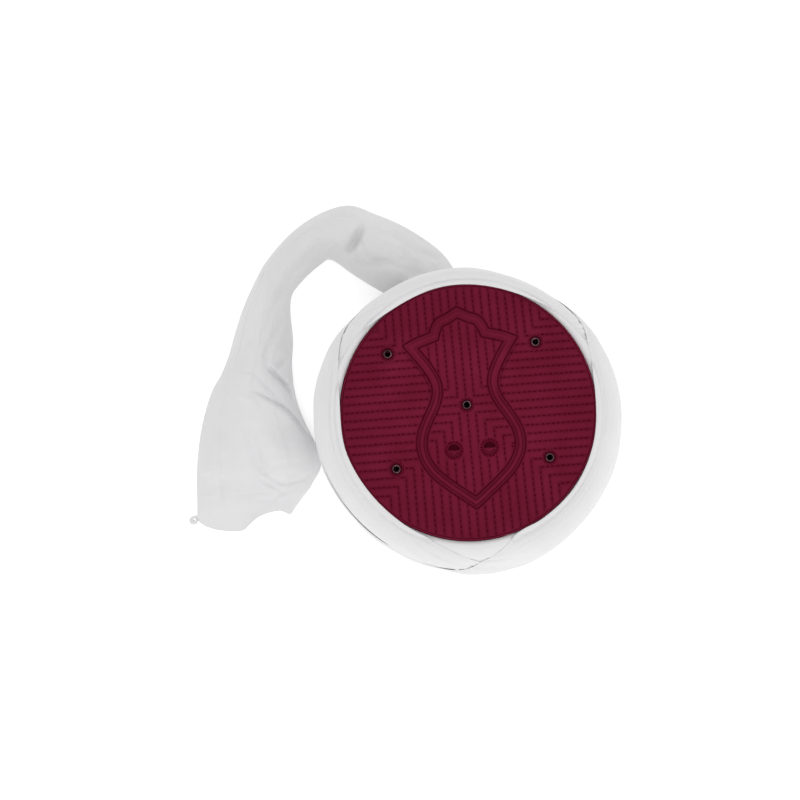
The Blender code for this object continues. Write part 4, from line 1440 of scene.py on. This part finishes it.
def make_tail(look):
    rows = np.linspace(0.0, HEM_ROW, HEM_ROW * TAIL_CUTS + 1)
    columns = 0.5 - 0.5 * np.cos(np.pi * np.linspace(0.0, 1.0, TAIL_COLUMNS))
    row, across = np.meshgrid(rows, columns, indexing="ij")
    place = tail_plan(row, across)
    z = tail_height(row, across) + tail_relief(row, across, place)
    upper = clear_of_wrap(np.concatenate([place, z[..., None]], axis=-1), row)
    row, across = np.meshgrid(rows, columns[::TAIL_UNDER_STEP], indexing="ij")
    under = 1.0 - smooth_step(0.0, 0.09, np.minimum(across, 1.0 - across))
    thin = np.maximum(z[:, ::TAIL_UNDER_STEP] - HEM_THICKNESS, 0.0)
    low = tail_height(row, across * 0.0) * under
    low = low + (thin - low) * smooth_step(0.4, 0.9, hem_share(row))
    lower = clear_of_wrap(np.concatenate([tail_plan(row, across), low[..., None]], axis=-1), row)
    rings = np.concatenate([upper, lower[:, -2:0:-1]], axis=1)
    faces = grid_faces(rings.shape[0], rings.shape[1], False, True)[:, ::-1].tolist()
    around = rings.shape[1]
    # Painted shade on the tail, full from its root to row 5.5 and gone by row 10
    painted_shade = np.repeat(TAIL_PAINTED_SHADE * (1.0 - smooth_step(5.5, 10.0, rows))[:, None], around, axis=1)
    for start, turned in ((0, 1), ((len(rows) - 1) * around, -1)):
        top = [start + number for number in range(TAIL_COLUMNS)]
        bottom = [top[0]] + [start + around - number for number in range(1, lower.shape[1] - 1)] + [top[-1]]
        faces += [face[::turned] for face in end_faces(top, bottom) if len(face) == 3]
    mesh = mesh_from("tail", rings.reshape(-1, 3), faces, painted_shade)
    piece = link("tail_cloth", mesh, look, "tail")
    knot = make_tail_knot(look)
    return piece


def make_tail_knot(look):
    """The rolled corner of the hem, curled on itself."""
    corner = tail_plan(np.array(float(HEM_ROW)), np.array(1.0))
    turn = np.radians(np.linspace(0.0, KNOT_TURNS, 64))
    wound = turn / turn[-1]
    curl = KNOT_CURL * (1.0 - 0.55 * wound)
    centre = corner + KNOT_OFF
    path = np.stack([
        centre[0] + curl * np.cos(turn - 0.3),
        centre[1] + curl * np.sin(turn - 0.3) * 0.8,
        KNOT_THICKNESS + 0.0016 * wound,
    ], axis=1)
    thick = KNOT_THICKNESS * (0.75 + 0.25 * np.cos(turn * 1.5))
    thick = thick * np.clip(6.0 * (1.0 - wound), 0.25, 1.0)
    sides = 20
    around = np.arange(sides) * math.tau / sides
    ahead = np.gradient(path, axis=0)
    ahead /= np.linalg.norm(ahead, axis=1)[:, None]
    side = np.stack([-ahead[:, 1], ahead[:, 0], np.zeros(len(path))], axis=1)
    side /= np.linalg.norm(side, axis=1)[:, None]
    up = np.cross(ahead, side)
    ripple = 1.0 + 0.12 * np.sin(around[None, :] * 5.0 + turn[:, None] * 2.0)
    ring = np.cos(around)[None, :, None] * side[:, None, :] + np.sin(around)[None, :, None] * up[:, None, :]
    points = path[:, None, :] + ring * (thick[:, None] * ripple)[..., None]
    points[..., 2] = np.maximum(points[..., 2], 0.0)
    faces = grid_faces(len(path), sides, False, True)[:, ::-1].tolist()
    first = list(range(sides))
    last = [(len(path) - 1) * sides + number for number in range(sides)]
    faces += [first, last[::-1]]
    return link("tail_knot", mesh_from("tail_knot", points.reshape(-1, 3), faces), look)


# Floor, light and camera


def add_object(name, data):
    made = bpy.data.objects.new(name, data)
    bpy.context.scene.collection.objects.link(made)
    return made


def make_stage():
    """A white floor that glows everywhere but under the cap, below a white sky."""
    made, tree, shader = new_material("pale_floor", (0.93, 0.93, 0.93), {"Roughness": 0.9})
    stops = ((0.3, (0.925, 0.925, 0.925)), (0.7, (0.94, 0.94, 0.94)))
    tree.links.new(ramp_node(tree, noise_node(tree, 3.0, 3.0), stops), shader.inputs["Base Color"])
    shader.inputs["Emission Color"].default_value = rgba((1.0, 1.0, 1.0))
    where = place_node(tree, "ShaderNodeVectorMath", {}, operation="DISTANCE")
    fill_sockets(tree, where.inputs, (object_place(tree), AXIS))
    glow = {
        "From Min": RIM_RADIUS,
        "From Max": RIM_RADIUS + 0.006,
        "To Min": 0.0,
        "To Max": FLOOR_GLOW,
    }
    range_node(tree, where.outputs["Value"], glow, shader.inputs["Emission Strength"])
    reach = 6.0
    corners = [(-reach, -reach, 0.0), (reach, -reach, 0.0), (reach, reach, 0.0), (-reach, reach, 0.0)]
    mesh = bpy.data.meshes.new("floor")
    mesh.from_pydata(corners, [], [(0, 1, 2, 3)])
    mesh.materials.append(made)
    floor = add_object("floor", mesh)
    world = bpy.data.worlds.new("studio")
    bpy.context.scene.world = world
    world.use_nodes = True
    sky = {"Color": rgba((1.0, 1.0, 1.0)), "Strength": SKY_STRENGTH}
    set_inputs(world.node_tree.nodes["Background"], sky)


def make_light(name, place, aim, size, power):
    data = bpy.data.lights.new(name, "AREA")
    data.shape = "SQUARE"
    data.size = size
    data.energy = power
    lamp = add_object(name, data)
    lamp.location = place
    turn = (np.array(place) - np.array(aim)).tolist()
    lamp.rotation_euler = Vector(turn).to_track_quat("Z", "Y").to_euler()


def make_camera():
    data = bpy.data.cameras.new("camera")
    data.lens = CAMERA_LENS
    data.sensor_width = CAMERA_SENSOR
    data.clip_end = 50.0
    camera = add_object("camera", data)
    turn = (math.cos(CAMERA_TURN), math.sin(CAMERA_TURN))
    camera.location = (
        AXIS[0] + CAMERA_PLACE[0] * turn[0] - CAMERA_PLACE[1] * turn[1],
        AXIS[1] + CAMERA_PLACE[0] * turn[1] + CAMERA_PLACE[1] * turn[0],
        CAMERA_PLACE[2],
    )
    camera.rotation_euler = (CAMERA_TILT, 0.0, CAMERA_TURN)
    bpy.context.scene.camera = camera


def main():
    quilted = quilted_material()
    thread = thread_material()
    worked = ring_material()
    metal = metal_material()
    voile = voile_material()
    make_crown_patch("crown_field", FIELD_SPACING, False, quilted, "crown_panel")
    make_crown_patch("crown_crest", FINE_SPACING, True, quilted)
    make_crown_rim(quilted)
    make_crown_lining(quilted)
    make_stitching(thread)
    for name in WORKED:
        make_worked_ring(name, worked)
    for name in EYELETS:
        make_eyelet(name, metal)
    make_side_band(quilted)
    make_core(voile)
    for level, name in enumerate(TURNS):
        make_turn(level, name, voile)
    make_tail(voile)
    make_stage()
    make_light("softbox", (AXIS[0] + 0.35, AXIS[1] - 0.85, 1.5), (AXIS[0], AXIS[1], 0.0), 1.6, 7.0)
    make_camera()
    bpy.context.scene.view_settings.view_transform = "Standard"


main()
